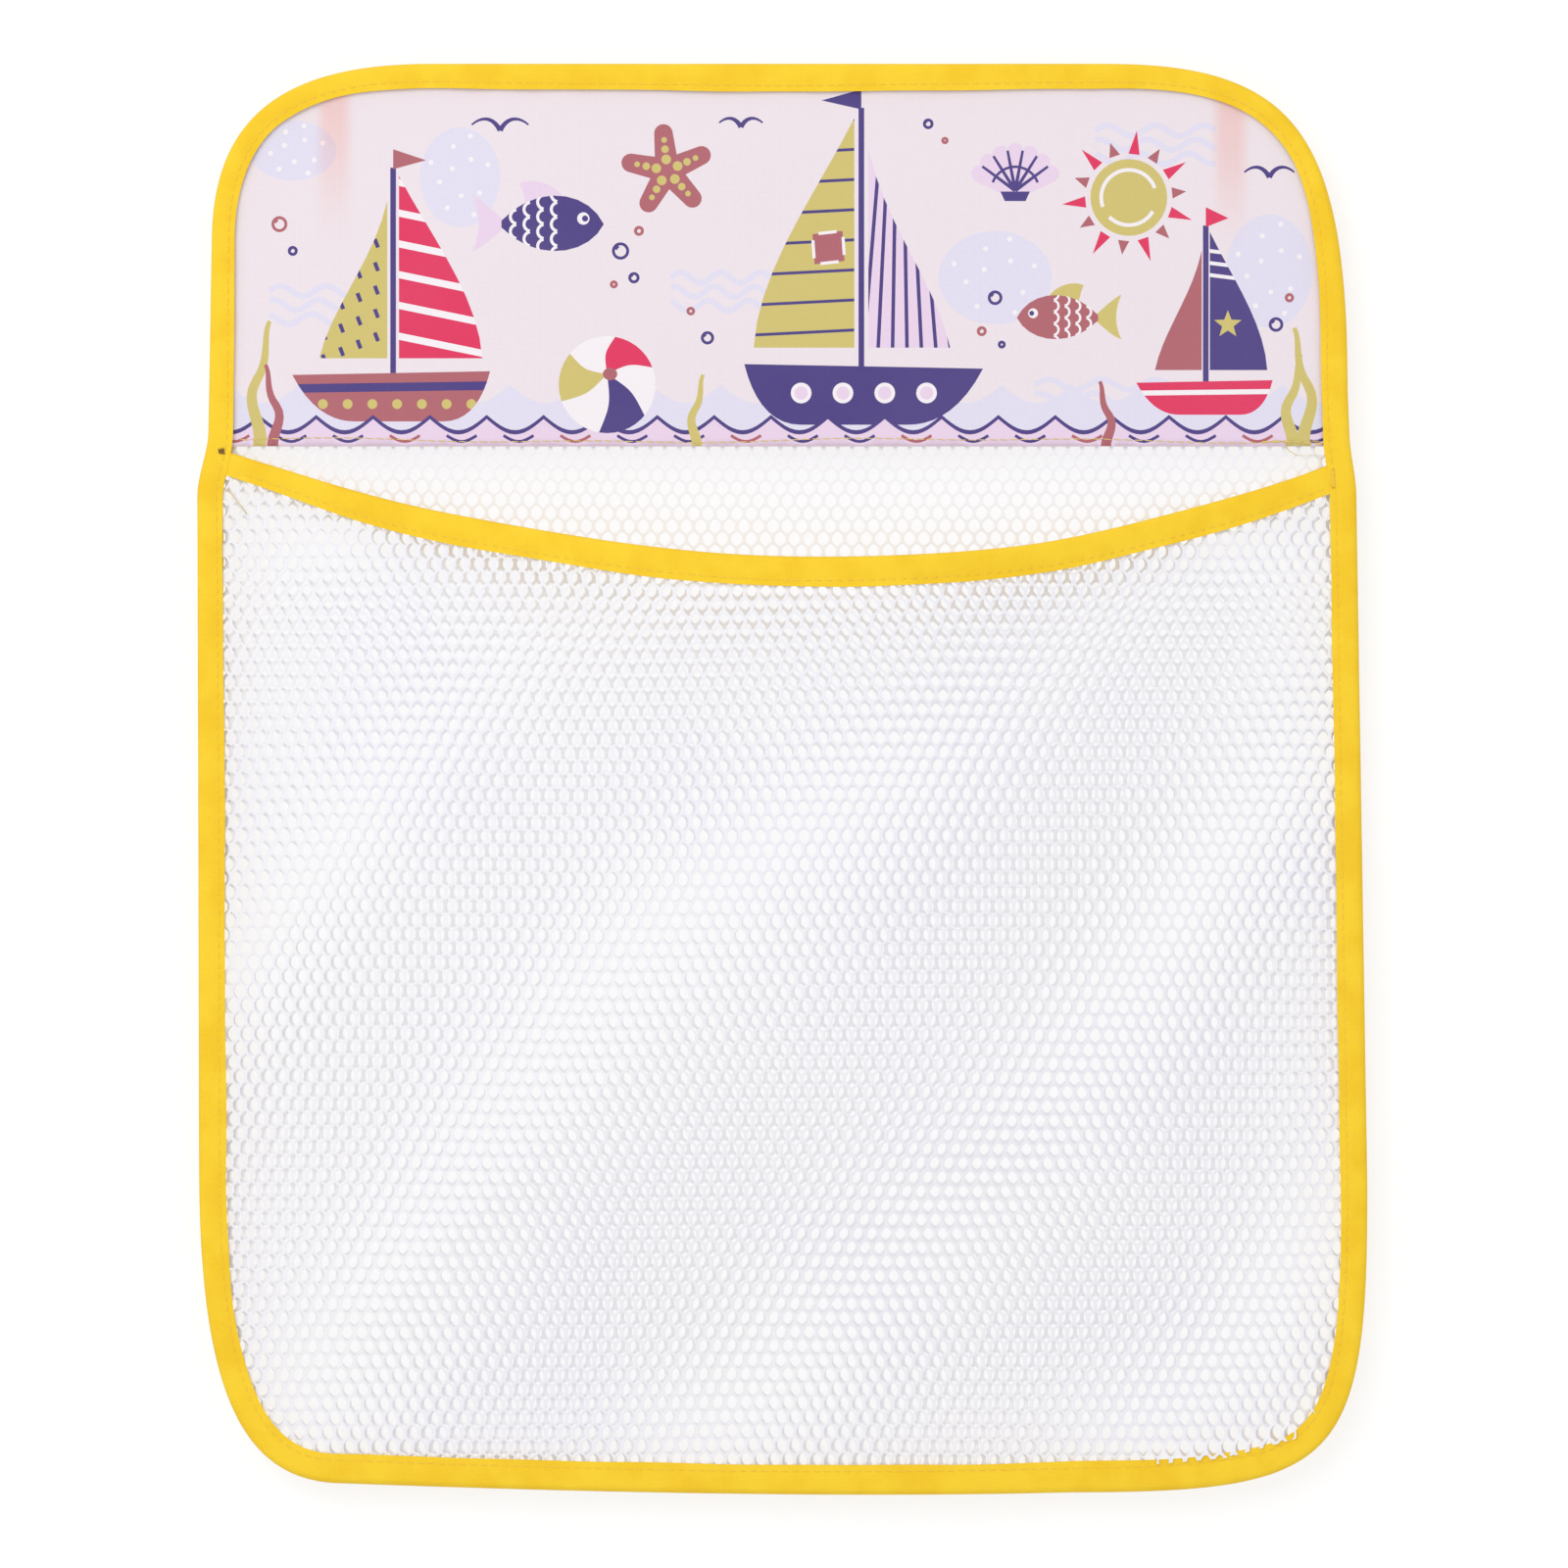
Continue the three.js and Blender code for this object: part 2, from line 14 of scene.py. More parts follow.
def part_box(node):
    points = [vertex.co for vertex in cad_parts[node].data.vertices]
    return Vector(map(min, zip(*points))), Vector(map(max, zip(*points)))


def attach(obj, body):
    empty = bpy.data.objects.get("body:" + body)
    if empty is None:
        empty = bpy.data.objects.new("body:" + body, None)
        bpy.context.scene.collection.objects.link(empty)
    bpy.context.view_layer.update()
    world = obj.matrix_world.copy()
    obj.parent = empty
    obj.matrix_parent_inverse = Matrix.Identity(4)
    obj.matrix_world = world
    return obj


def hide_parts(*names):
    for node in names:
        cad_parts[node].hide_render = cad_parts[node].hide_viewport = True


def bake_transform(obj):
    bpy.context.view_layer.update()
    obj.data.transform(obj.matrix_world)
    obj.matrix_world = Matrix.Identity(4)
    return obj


bl_info = {
    "name": "Bath Toy Organizer",
    "version": (1, 0, 0),
    "blender": (4, 5, 0),
    "location": "View3D > Sidebar > Organizer",
    "description": "Makes the cloth, nets, tape and stitches of a hanging bath toy organizer",
    "category": "Object",
}

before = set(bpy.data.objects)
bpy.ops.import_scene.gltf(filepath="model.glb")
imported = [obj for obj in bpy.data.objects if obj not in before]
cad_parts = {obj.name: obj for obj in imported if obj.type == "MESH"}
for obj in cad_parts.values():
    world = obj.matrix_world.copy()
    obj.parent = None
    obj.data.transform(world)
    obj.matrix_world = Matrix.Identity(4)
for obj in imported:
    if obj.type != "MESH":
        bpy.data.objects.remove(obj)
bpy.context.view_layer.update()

# The shape is worked out in millimetres, with depth counted forward from the binding's back
MM = 0.001

# Edge: places from the centre line, the size of each corner and how far its curve is pulled into it
TOP = 4.025
BOTTOM = TOP - 428
LEFT_FOOT = BOTTOM + 3.4
RIGHT_FOOT = BOTTOM + 0.7
HEADER_SIDE = TOP - 110
BAG_SIDE = TOP - 129
SHOULDER = 5.7
LEFT = {"top": -170.3, "header": -171.3, "bag": -174.6, "foot": -174.1}
RIGHT = {"top": 169.5, "header": 170.0, "bag": 172.1, "foot": 175.4}
LEFT_TOP_CORNER = {"wide": 65.5, "tall": 53.6, "pull": 0.69}
RIGHT_TOP_CORNER = {"wide": 72.6, "tall": 98.0, "pull": 0.79}
LEFT_FOOT_CORNER = {"wide": 43.3, "tall": 95.3, "pull": 0.71}
RIGHT_FOOT_CORNER = {"wide": 88.0, "tall": 90.5, "pull": 0.91}

# Tape: its width and weave, what shows of it, how far it stands out between fold and seam, and its seam
TAPE_WIDTH = 20.0
TAPE_RIB = 0.6
TAPE_THREAD = 0.45
BINDING_SHOWS = 8.05
BINDING_DEPTH = 3.9
BINDING_CROWN = 0.16
BINDING_LIP = 0.2
BINDING_STEP = 1.6
RIM_SHOWS = 8.9
RIM_HALF = 1.1
RIM_CROWN = 0.14
SEAM_IN = 1.85
SEAM_WIDE = 1.1
STITCH_LEAN = 0.05
STITCH_SUNK = 0.06

# Widths of the edge tape on the front, at places round the edge
FRONT_WIDTHS = (
    ((0, TOP), 8.6), ((105, 2), 7.4), ((160, -22), 6.4), ((170, -85), 8.2), ((173, -240), 8.0),
    ((165, -395), 8.1), ((130, -417), 9.6), ((0, BOTTOM), 8.9), ((-125, -419), 9.0), ((-168, -390), 8.1),
    ((-174, -240), 8.2), ((-171, -100), 7.6), ((-170, -60), 7.1), ((-155, -12), 6.9), ((-104, TOP), 7.4),
)

# Header: depth and foot, how far its cloth reaches into the edge tape, its weave, its print and its hem
HEADER_DEPTH = 2.3
HEADER_FOOT = -110.575
HEADER_IN = 2.6
CLOTH_THREADS = (0.52, 0.44)
PRINT_FOOT = -113
HEM_DEPTH = 1.9
HEM_TALL = 11.0
HEM_SEAM = -108.675
HEM_SEAM_ENDS = (-162.0, 161.3)
HEM_SEWN_TWICE = (143.5, 162.3)

# Nets: depths, their top edges and knitted widths, how far they reach into the edge tape, and their cells
BACK_DEPTH = 1.1
BACK_TOP = -101.575
BACK_WIDE = 370.0
POCKET_DEPTH = 2.8
POCKET_TOP = -106.0
POCKET_WIDE = 352.0
BELLY = 18.0
BELLY_START = 10.0
BELLY_REACH = 150.0
NET_IN = 4.6
NET_WAVE = 95.0
NET_SEEDS = (7.9, 13.4)
CELL_SIDE = 0.27
LOOSE_BELOW = -150.0

# The pocket net's cut edge, which lies over the edge tape near the right foot corner
FRINGE = ((112.0, -414.4), (133.0, -412.6), (153.0, -407.2))
FRINGE_BELOW = -380.0
FRINGE_ASIDE = 7.0
FRINGE_CLEAR = 12.6
FRINGE_LIFT = 1.75

# Rim: its ends and the pull of its curve, where tape and seam stop, and what it covers
RIM_LEFT = (-173.3, -110.375)
RIM_LOW = (21.0, -174.975)
RIM_RIGHT = (170.8, -114.375)
RIM_TAPE_ENDS = (-168.6, 167.2)
RIM_SEAM_ENDS = (-163.5, 162.5)
RIM_COVERS = 3.6

# Hanging loops
LOOP_WIDE = 8.2
LOOP_EYE = 6.0
LOOP_LONG = 44.0

# Stage, in metres: the wall's white is partly its own and partly lit, so that it keeps a soft shadow
CAMERA_PLACE = (0.00088, -1.7607, -0.2114)
LAMP_PLACE = (-0.75, -1.75, 0.75)
LAMP_AIM = (0.0, 0.0, -0.2)
ROOM_LIGHT = 0.83
FLOOR_HEIGHT = -0.6
WALL_BACK = 0.0095
WALL_GLOW = 0.64
WALL_SHADE = 0.4

SIDES = ((-1, "left"), (1, "right"))


def smoothstep(value, low, high):
    """Rises smoothly from 0 at low to 1 at high."""
    share = np.clip((value - low) / (high - low), 0.0, 1.0)
    return share * share * (3.0 - 2.0 * share)


def linear(code):
    """A written colour as the linear red, green and blue that Blender keeps."""
    parts = [((code >> shift) & 255) / 255 for shift in (16, 8, 0)]
    return tuple(p / 12.92 if p <= 0.04045 else ((p + 0.055) / 1.055) ** 2.4 for p in parts)


# Settings


def length_setting(label, words, millimetres):
    return FloatProperty(
        name=label, description=words, default=millimetres * MM, min=0.0, unit="LENGTH", precision=5
    )


def colour_setting(label, words, code):
    return FloatVectorProperty(
        name=label, description=words, default=linear(code), size=3, min=0.0, max=1.0, subtype="COLOR"
    )


class OrganizerSizes(bpy.types.PropertyGroup):
    """Sizes of the cloth, nets, tape and stitches."""

    cloth_ply: length_setting("Cloth thickness", "Thickness of the header's cloth", 0.4)
    cloth_ripple: length_setting("Cloth ripple", "How far the header's cloth waves in and out", 0.55)
    tape_ply: length_setting("Tape thickness", "Thickness of one ply of tape", 0.5)
    tape_pucker: length_setting("Tape pucker", "How far the seam draws the tape in between stitches", 0.09)
    strand: length_setting("Strand width", "Width of a knitted strand between two holes", 1.2)
    strand_round: length_setting("Strand rise", "How far a strand rises to each side of its middle", 0.12)
    back_pitch: length_setting("Back hole spacing", "Spacing of the back net's holes in a row", 4.3)
    back_row: length_setting("Back row spacing", "Spacing of the back net's rows", 3.8)
    pocket_pitch: length_setting("Pocket hole spacing", "Spacing of the pocket net's holes in a row", 4.16)
    pocket_row: length_setting("Pocket row spacing", "Spacing of the pocket net's rows", 4.25)
    net_drift: length_setting("Net drift", "How far the knitted rows wander from straight", 0.9)
    stitch_pitch: length_setting("Stitch spacing", "Spacing of the stitches along a seam", 3.1)
    stitch_long: length_setting("Stitch length", "Length of one stitch on the surface", 2.3)
    thread: length_setting("Thread thickness", "Thickness of the sewing thread", 0.42)


class OrganizerColours(bpy.types.PropertyGroup):
    """Colours of the cloth, nets, tape, thread and stage."""

    tape: colour_setting("Tape", "Yellow tape", 0xFED52F)
    # The two nets are one white yarn: the back's is set lighter and the pocket's darker as painted light,
    # lifting the back net out of the pocket's shade.
    pocket_net: colour_setting("Pocket net", "White yarn of the pocket's net", 0xF1F0F3)
    back_net: colour_setting("Back net", "White yarn of the back's net", 0xF4F3F5)
    seam_thread: colour_setting("Seam thread", "Thread along the tapes", 0xFACF36)
    hem_thread: colour_setting("Hem thread", "Thread along the header's hem", 0xE4C876)
    knot: colour_setting("Knot", "Thread of the knot at the rim's left end", 0x7E5D12)
    ground: colour_setting("Cloth ground", "Unprinted cloth of the header", 0xEEE3E8)
    red: colour_setting("Red ink", "Red of the print", 0xE2335F)
    navy: colour_setting("Navy ink", "Navy of the print", 0x4A3C82)
    ochre: colour_setting("Ochre ink", "Ochre of the print", 0xD2C272)
    clay: colour_setting("Clay ink", "Reddish brown of the print", 0xB2656D)
    lilac: colour_setting("Lilac ink", "Lilac of the print", 0xEBD4EA)
    mist: colour_setting("Mist ink", "Palest ink, of the shapes behind the others", 0xE3DFF0)
    chalk: colour_setting("Chalk ink", "Light spots and lines within darker shapes", 0xF6F0F3)
    floor: colour_setting("Floor", "Pale floor", 0xE9E9E9)


def size_of(name):
    """A size setting in millimetres."""
    return getattr(bpy.context.scene.organizer_sizes, name) / MM


def colour_of(name):
    """A colour setting as red, green and blue."""
    return tuple(getattr(bpy.context.scene.organizer_colours, name))


# Edge, rim and the pocket's surface


def straight(a, b):
    a, b = Vector(a), Vector(b)
    return a, a.lerp(b, 1 / 3), a.lerp(b, 2 / 3), b


def bowed(a, pull, b):
    a, pull, b = Vector(a), Vector(pull), Vector(b)
    return a, a.lerp(pull, 2 / 3), b.lerp(pull, 2 / 3), b


def corner(x, z, size, across, up):
    """A corner's curve from its end on the side to its end on the top or bottom run."""
    wide, tall, left_over = across * size["wide"], up * size["tall"], 1 - size["pull"]
    return [(x, z + tall), (x, z + tall * left_over), (x + wide * left_over, z), (x + wide, z)]


def shoulder(x_high, x_low):
    """The short curve on one side from the header down to the wider bag."""
    high = [(x_high, HEADER_SIDE), (x_high, HEADER_SIDE - SHOULDER)]
    return high + [(x_low, BAG_SIDE + SHOULDER), (x_low, BAG_SIDE)]


def edge_runs():
    """Bezier runs of the finished edge, clockwise from the left end of the top run."""
    top_left = corner(LEFT["top"], TOP, LEFT_TOP_CORNER, 1, -1)
    top_right = corner(RIGHT["top"], TOP, RIGHT_TOP_CORNER, -1, -1)[::-1]
    foot_right = corner(RIGHT["foot"], RIGHT_FOOT, RIGHT_FOOT_CORNER, -1, 1)
    foot_left = corner(LEFT["foot"], LEFT_FOOT, LEFT_FOOT_CORNER, 1, 1)[::-1]
    right = shoulder(RIGHT["header"], RIGHT["bag"])
    left = shoulder(LEFT["header"], LEFT["bag"])[::-1]
    sag = BOTTOM - math.sqrt((LEFT_FOOT - BOTTOM) * (RIGHT_FOOT - BOTTOM))
    return [
        straight(top_left[-1], top_right[0]),
        top_right,
        straight(top_right[-1], right[0]),
        right,
        straight(right[-1], foot_right[0]),
        foot_right,
        bowed(foot_right[-1], (0, sag), foot_left[0]),
        foot_left,
        straight(foot_left[-1], left[0]),
        left,
        straight(left[-1], top_left[0]),
        top_left,
    ]


def evenly(points, count):
    """A polyline as points at equal distances along it, and its length."""
    steps = np.hypot(*np.diff(points, axis=0).T)
    run = np.concatenate([[0.0], np.cumsum(steps)])
    at = np.linspace(0.0, run[-1], count + 1)
    return np.stack([np.interp(at, run, points[:, k]) for k in (0, 1)], axis=1), run[-1]


def edge_line(count=1200):
    """The finished edge as a clockwise ring of points at equal distances, and its length."""
    fine = [interpolate_bezier(*[Vector(p).to_3d() for p in run], 60)[:-1] for run in edge_runs()]
    points = np.array([p[:2] for run in fine for p in run])
    ring, long = evenly(np.vstack([points, points[:1]]), count)
    return ring[:-1], long


def inward(ring):
    """Directions into a clockwise ring at each of its points."""
    ahead = np.roll(ring, -1, axis=0) - np.roll(ring, 1, axis=0)
    ahead /= np.hypot(*ahead.T)[:, None]
    return np.stack([ahead[:, 1], -ahead[:, 0]], axis=1)


EDGE, EDGE_LENGTH = edge_line()
EDGE_IN = inward(EDGE)


def edge_point(share, inset):
    """Places on the front at shares of the way round the edge, an inset from it."""
    at = np.asarray(share) * len(EDGE)
    low = np.floor(at).astype(int)
    part = (at - low)[..., None]
    low = low % len(EDGE)
    high = (low + 1) % len(EDGE)
    base = EDGE[low] * (1 - part) + EDGE[high] * part
    into = EDGE_IN[low] * (1 - part) + EDGE_IN[high] * part
    return base + into * np.asarray(inset)[..., None]


def edge_distance(x, z):
    """Distances in from the edge, negative outside it."""
    places = np.stack([np.ravel(x), np.ravel(z)], axis=1)
    found = []
    for some in np.array_split(places, max(1, len(places) // 4000)):
        away = some[:, None, :] - EDGE[None, ::2, :]
        near = np.argmin((away**2).sum(axis=2), axis=1)
        found.append((away[np.arange(len(some)), near] * EDGE_IN[::2][near]).sum(axis=1))
    return np.concatenate(found).reshape(np.shape(x))


def edge_share(x, z):
    """The share of the way round the edge nearest to a place."""
    return float(np.argmin(((EDGE - np.array([x, z])) ** 2).sum(axis=1))) / len(EDGE)


FRONT_STATIONS = [edge_share(*place) for place, _ in FRONT_WIDTHS]


def front_width(share):
    """Width of the edge tape that shows on the front at shares of the way round."""
    return np.interp(share, FRONT_STATIONS, [width for _, width in FRONT_WIDTHS], period=1.0)


def rim_line():
    """The rim's curve as points from its left end to its right end."""
    share = np.linspace(0.0, 1.0, 401)[:, None]
    a, b, c = (np.array(p) for p in (RIM_LEFT, RIM_LOW, RIM_RIGHT))
    return a * (1 - share) ** 2 + 2 * b * share * (1 - share) + c * share**2


RIM = rim_line()
RIM_SLOPE = np.gradient(RIM[:, 1], RIM[:, 0])


def rim_height(x, lowered=0.0):
    """Heights of the rim's line at places across, moved down across its own run.

    Its ends are drawn up a little, its middle hangs a little, and it waves slightly between them.
    """
    steep = np.sqrt(1 + np.interp(x, RIM[:, 0], RIM_SLOPE) ** 2)
    ends = 0.9 * smoothstep(-x, 100, 150) + 1.1 * smoothstep(x, 70, 120)
    middle = -0.6 * np.exp(-(((x - 20) / 45) ** 2))
    waves = 0.25 * np.sin(x / 17) * smoothstep(165 - np.abs(x), 0, 40)
    return np.interp(x, RIM[:, 0], RIM[:, 1]) + ends + middle + waves - lowered * steep


def rim_width(x):
    """Width of the rim's tape that shows: a little less where its ends are drawn under the edge tape."""
    return RIM_SHOWS - 2.0 * smoothstep(-x, 110, 165) - 0.8 * smoothstep(x, 130, 165)


def rim_fullness(x, z):
    """How far the rim's fold stands open: fully, but pressed flat where it slips under the edge tape."""
    return 0.5 + 0.5 * smoothstep(edge_distance(x, z), 7.6, 15.0)


def pocket_depth(x, z):
    """Depth of the pocket's middle: at its seam round the edge, and standing out inside it."""
    inside = edge_distance(x, z) - BINDING_SHOWS
    return POCKET_DEPTH + BELLY * smoothstep(inside, BELLY_START, BELLY_REACH)


def along_fringe(x, z, aside=0.0):
    """Where the pocket net's cut edge lies over the front of the edge tape, and a distance to its sides."""
    return (x > FRINGE[0][0] - aside) & (x < FRINGE[-1][0] + aside) & (z < FRINGE_BELOW)


def net_depth(x, z):
    """Depth of the pocket's net: the pocket's own, but lifted over the tape where its cut edge shows."""
    over = smoothstep(-edge_distance(x, z), -14.0, -10.0) * along_fringe(x, z, FRINGE_ASIDE)
    return pocket_depth(x, z) + FRINGE_LIFT * over


def billow(x, z, wide, tall, seed):
    """Smooth random heights at places, in waves of a width and a height."""
    heights = [noise.noise((a / wide, seed, b / tall)) for a, b in zip(np.ravel(x), np.ravel(z))]
    return np.reshape(heights, np.shape(x))


def header_ripple(x, z):
    """How far the header's cloth waves forward: broad waves, and short gathers beside the tape."""
    inside = edge_distance(x, z)
    held = 0.25 + 0.75 * smoothstep(z - HEADER_FOOT, 2.0, 22.0)
    waves = billow(x, z, 46, 34, 1.7) * smoothstep(inside, 5.0, 30.0)
    gathers = billow(x, z, 9, 9, 5.2) * np.exp(-np.maximum(inside - BINDING_SHOWS, 0.0) / 8.0)
    return size_of("cloth_ripple") * held * (waves + 0.55 * gathers)


# Materials


def fill(tree, made, values):
    """Sets a node's sockets, or links them where the value is another socket."""
    for socket, value in values.items():
        if isinstance(value, bpy.types.NodeSocket):
            tree.links.new(value, made.inputs[socket])
        else:
            made.inputs[socket].default_value = value


def node(tree, kind, values=None, **choices):
    """A shader node with its choices made and its sockets filled."""
    made = tree.nodes.new(kind)
    for name, value in choices.items():
        setattr(made, name, value)
    fill(tree, made, values or {})
    return made


def bare_material(name):
    """A new material, its tree and its principled shader."""
    made = bpy.data.materials.new(name)
    made.use_nodes = True
    return made, made.node_tree, made.node_tree.nodes["Principled BSDF"]


def object_place(tree):
    return node(tree, "ShaderNodeTexCoord").outputs["Object"]


def mottle(tree, place, scale, detail):
    """Soft noise at a place."""
    values = {"Vector": place, "Scale": scale, "Detail": detail}
    return node(tree, "ShaderNodeTexNoise", values).outputs["Fac"]


def bands(tree, place, scale, direction, distortion=0.0):
    """Even waves across a place."""
    values = {"Vector": place, "Scale": scale, "Distortion": distortion}
    return node(tree, "ShaderNodeTexWave", values, bands_direction=direction).outputs["Fac"]


def arithmetic(tree, operation, a, b=0.0):
    return node(tree, "ShaderNodeMath", {0: a, 1: b}, operation=operation).outputs[0]


def between(tree, value, low, high, most=1.0):
    """Goes from low to high as a value goes from 0 to its most."""
    values = {"Value": value, "From Max": most, "To Min": low, "To Max": high}
    return node(tree, "ShaderNodeMapRange", values).outputs["Result"]


def eased(tree, value, low, high):
    """Rises smoothly from 0 to 1 as a value goes from low to high."""
    values = {"Value": value, "From Min": low, "From Max": high}
    return node(tree, "ShaderNodeMapRange", values, interpolation_type="SMOOTHSTEP").outputs["Result"]


def mixed(tree, factor, a, b, blend="MIX"):
    """Two colours mixed by a factor."""
    values = {"Factor": factor, "A": a, "B": b}
    return node(tree, "ShaderNodeMix", values, data_type="RGBA", blend_type=blend).outputs["Result"]


def bumped(tree, height, strength, distance):
    """A surface's direction where a height roughens it."""
    values = {"Strength": strength, "Distance": distance, "Height": height}
    return node(tree, "ShaderNodeBump", values).outputs["Normal"]


def ramp(tree, factor, stops):
    """A colour ramp of (place, colour) stops."""
    made = node(tree, "ShaderNodeValToRGB", {"Fac": factor})
    band = made.color_ramp
    while len(band.elements) < len(stops):
        band.elements.new(0.5)
    for element, (place, colour) in zip(band.elements, stops):
        element.position = place
        element.color = (*colour, 1.0)
    return made.outputs["Color"]


def toned(colour, *factors):
    """A colour with its red, green and blue taken by a factor each, or all three by one."""
    return tuple(min(1.0, part * factor) for part, factor in zip(colour, (factors * 3)[:3]))


def weave_height(tree, place, across, along):
    """Height of a plain weave of two thread spacings, in the units of the place."""
    wave_turn = 2 * math.pi / 20
    one = bands(tree, place, wave_turn / across, "X")
    two = bands(tree, place, wave_turn / along, "Y")
    return arithmetic(tree, "ADD", one, two)


def tape_material():
    """Yellow woven tape: fine ribs with painted shade in their dips, and mottled dye."""
    made = bpy.data.materials.get("yellow_woven_tape")
    if made:
        return made
    made, tree, shader = bare_material("yellow_woven_tape")
    colour = colour_of("tape")
    weave = node(tree, "ShaderNodeAttribute", attribute_name="weave").outputs["Vector"]
    threads = weave_height(tree, weave, TAPE_RIB, TAPE_THREAD)
    dye = mottle(tree, object_place(tree), 90.0, 4.0)
    dyed = ramp(tree, dye, [(0.36, toned(colour, 0.955, 0.9, 0.6)), (0.62, colour)])
    finish = {
        # painted shade: the colour is darker in the dips between the ribs
        "Base Color": mixed(tree, 1.0, dyed, between(tree, threads, 0.93, 1.04, 2.0), "MULTIPLY"),
        "Normal": bumped(tree, threads, 0.35, 0.00012),
        "Roughness": between(tree, dye, 0.62, 0.8),
        "Specular IOR Level": 0.25,
        "Sheen Weight": 0.05,
        "Sheen Roughness": 0.4,
    }
    fill(tree, shader, finish)
    return made


def net_material(name, colour):
    """White knitted yarn: twisted filaments in the bump, faint cool and warm drifts in the white."""
    made, tree, shader = bare_material(name)
    place = object_place(tree)
    cool, warm = toned(colour, 0.982, 0.984, 1.0), toned(colour, 1.0, 0.997, 0.986)
    drift = mottle(tree, place, 11.0, 2.0)
    fuzz = mottle(tree, place, 3200.0, 2.0)
    yarn = arithmetic(tree, "ADD", bands(tree, place, 1150.0, "DIAGONAL", 2.0), fuzz)
    finish = {
        "Base Color": ramp(tree, drift, [(0.38, cool), (0.5, colour), (0.64, warm)]),
        "Normal": bumped(tree, yarn, 0.3, 0.00003),
        "Roughness": between(tree, fuzz, 0.45, 0.65),
        "Specular IOR Level": 0.35,
        "Sheen Weight": 0.1,
    }
    fill(tree, shader, finish)
    return made


def thread_material(name, colour):
    """Spun sewing thread, twisted along its length, with painted shade in the twist's grooves."""
    made, tree, shader = bare_material(name)
    twist = bands(tree, object_place(tree), 900.0, "DIAGONAL", 1.5)
    finish = {
        # painted shade: the thread is darker in the grooves of its twist
        "Base Color": ramp(tree, twist, [(0.0, toned(colour, 0.82)), (0.7, toned(colour, 1.04))]),
        "Normal": bumped(tree, twist, 0.5, 0.00008),
        "Roughness": 0.55,
        "Sheen Weight": 0.2,
    }
    fill(tree, shader, finish)
    return made


def painted_loop_shade(tree, place):
    """Share of painted shade and show-through where the loops lie behind the thin cloth: one soft band for
    each loop, fixed at the loops' hanging place.
    """
    split = node(tree, "ShaderNodeSeparateXYZ", {"Vector": place})
    shown = []
    for _, name in SIDES:
        low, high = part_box(f"{name}_loop")
        middle, half = (low.x + high.x) / 2, (high.x - low.x) / 2
        away = arithmetic(tree, "ABSOLUTE", arithmetic(tree, "SUBTRACT", split.outputs["X"], middle))
        near = eased(tree, away, half * 1.7, half * 0.4)
        upper = eased(tree, split.outputs["Z"], low.z, high.z)
        shown.append(arithmetic(tree, "MULTIPLY", near, upper))
    return arithmetic(tree, "MAXIMUM", *shown)


def cloth_material(name, fade, front=False):
    """Printed cloth: ink from the faces' own colour over a fine weave, darker in the weave's dips as painted
    shade.

    The front has painted shade and show-through of the loops that lie behind it.
    """
    made, tree, shader = bare_material(name)
    ink = node(tree, "ShaderNodeAttribute", attribute_name="ink").outputs["Color"]
    place = object_place(tree)
    uneven = between(tree, mottle(tree, place, 26.0, 5.0), fade, fade + 0.05)
    faded = mixed(tree, uneven, ink, (*colour_of("ground"), 1.0))
    turned = node(tree, "ShaderNodeMapping", {"Vector": place, "Rotation": (math.pi / 2, 0.0, 0.0)})
    threads = weave_height(tree, turned.outputs["Vector"], *(each * MM for each in CLOTH_THREADS))
    # painted shade: the colour is darker in the weave's dips
    shown = mixed(tree, 1.0, faded, between(tree, threads, 0.955, 1.02, 2.0), "MULTIPLY")
    if front:
        # painted shade and show-through of the loops behind the cloth, multiplied into the front's colour
        shown = mixed(tree, painted_loop_shade(tree, place), shown, (1.0, 0.79, 0.74, 1.0), "MULTIPLY")
    finish = {
        "Base Color": shown,
        "Normal": bumped(tree, threads, 0.3, 0.0001),
        "Roughness": 0.82,
        "Specular IOR Level": 0.25,
        "Sheen Weight": 0.08,
    }
    fill(tree, shader, finish)
    return made


def floor_material():
    """Pale matt floor with a faint cast."""
    made, tree, shader = bare_material("pale_floor")
    colour = colour_of("floor")
    cast = mottle(tree, object_place(tree), 6.0, 3.0)
    shown = ramp(tree, cast, [(0.3, toned(colour, 0.97)), (0.7, colour)])
    fill(tree, shader, {"Base Color": shown, "Roughness": 0.75})
    return made


def wall_material():
    """White wall that keeps the object's soft shadow, seen from its front alone."""
    made, tree, shader = bare_material("white_wall")
    finish = {
        "Base Color": (WALL_SHADE, WALL_SHADE, WALL_SHADE, 1.0),
        "Emission Color": (1.0, 1.0, 1.0, 1.0),
        "Emission Strength": WALL_GLOW,
        "Roughness": 1.0,
        "Specular IOR Level": 0.0,
    }
    fill(tree, shader, finish)
    seen = node(tree, "ShaderNodeLightPath").outputs["Is Camera Ray"]
    behind = node(tree, "ShaderNodeNewGeometry").outputs["Backfacing"]
    shown = arithmetic(tree, "MULTIPLY", seen, arithmetic(tree, "SUBTRACT", 1.0, behind))
    clear = node(tree, "ShaderNodeBsdfTransparent").outputs[0]
    sided = node(tree, "ShaderNodeMixShader", {0: shown, 1: clear, 2: shader.outputs[0]})
    fill(tree, tree.nodes["Material Output"], {"Surface": sided.outputs[0]})
    return made


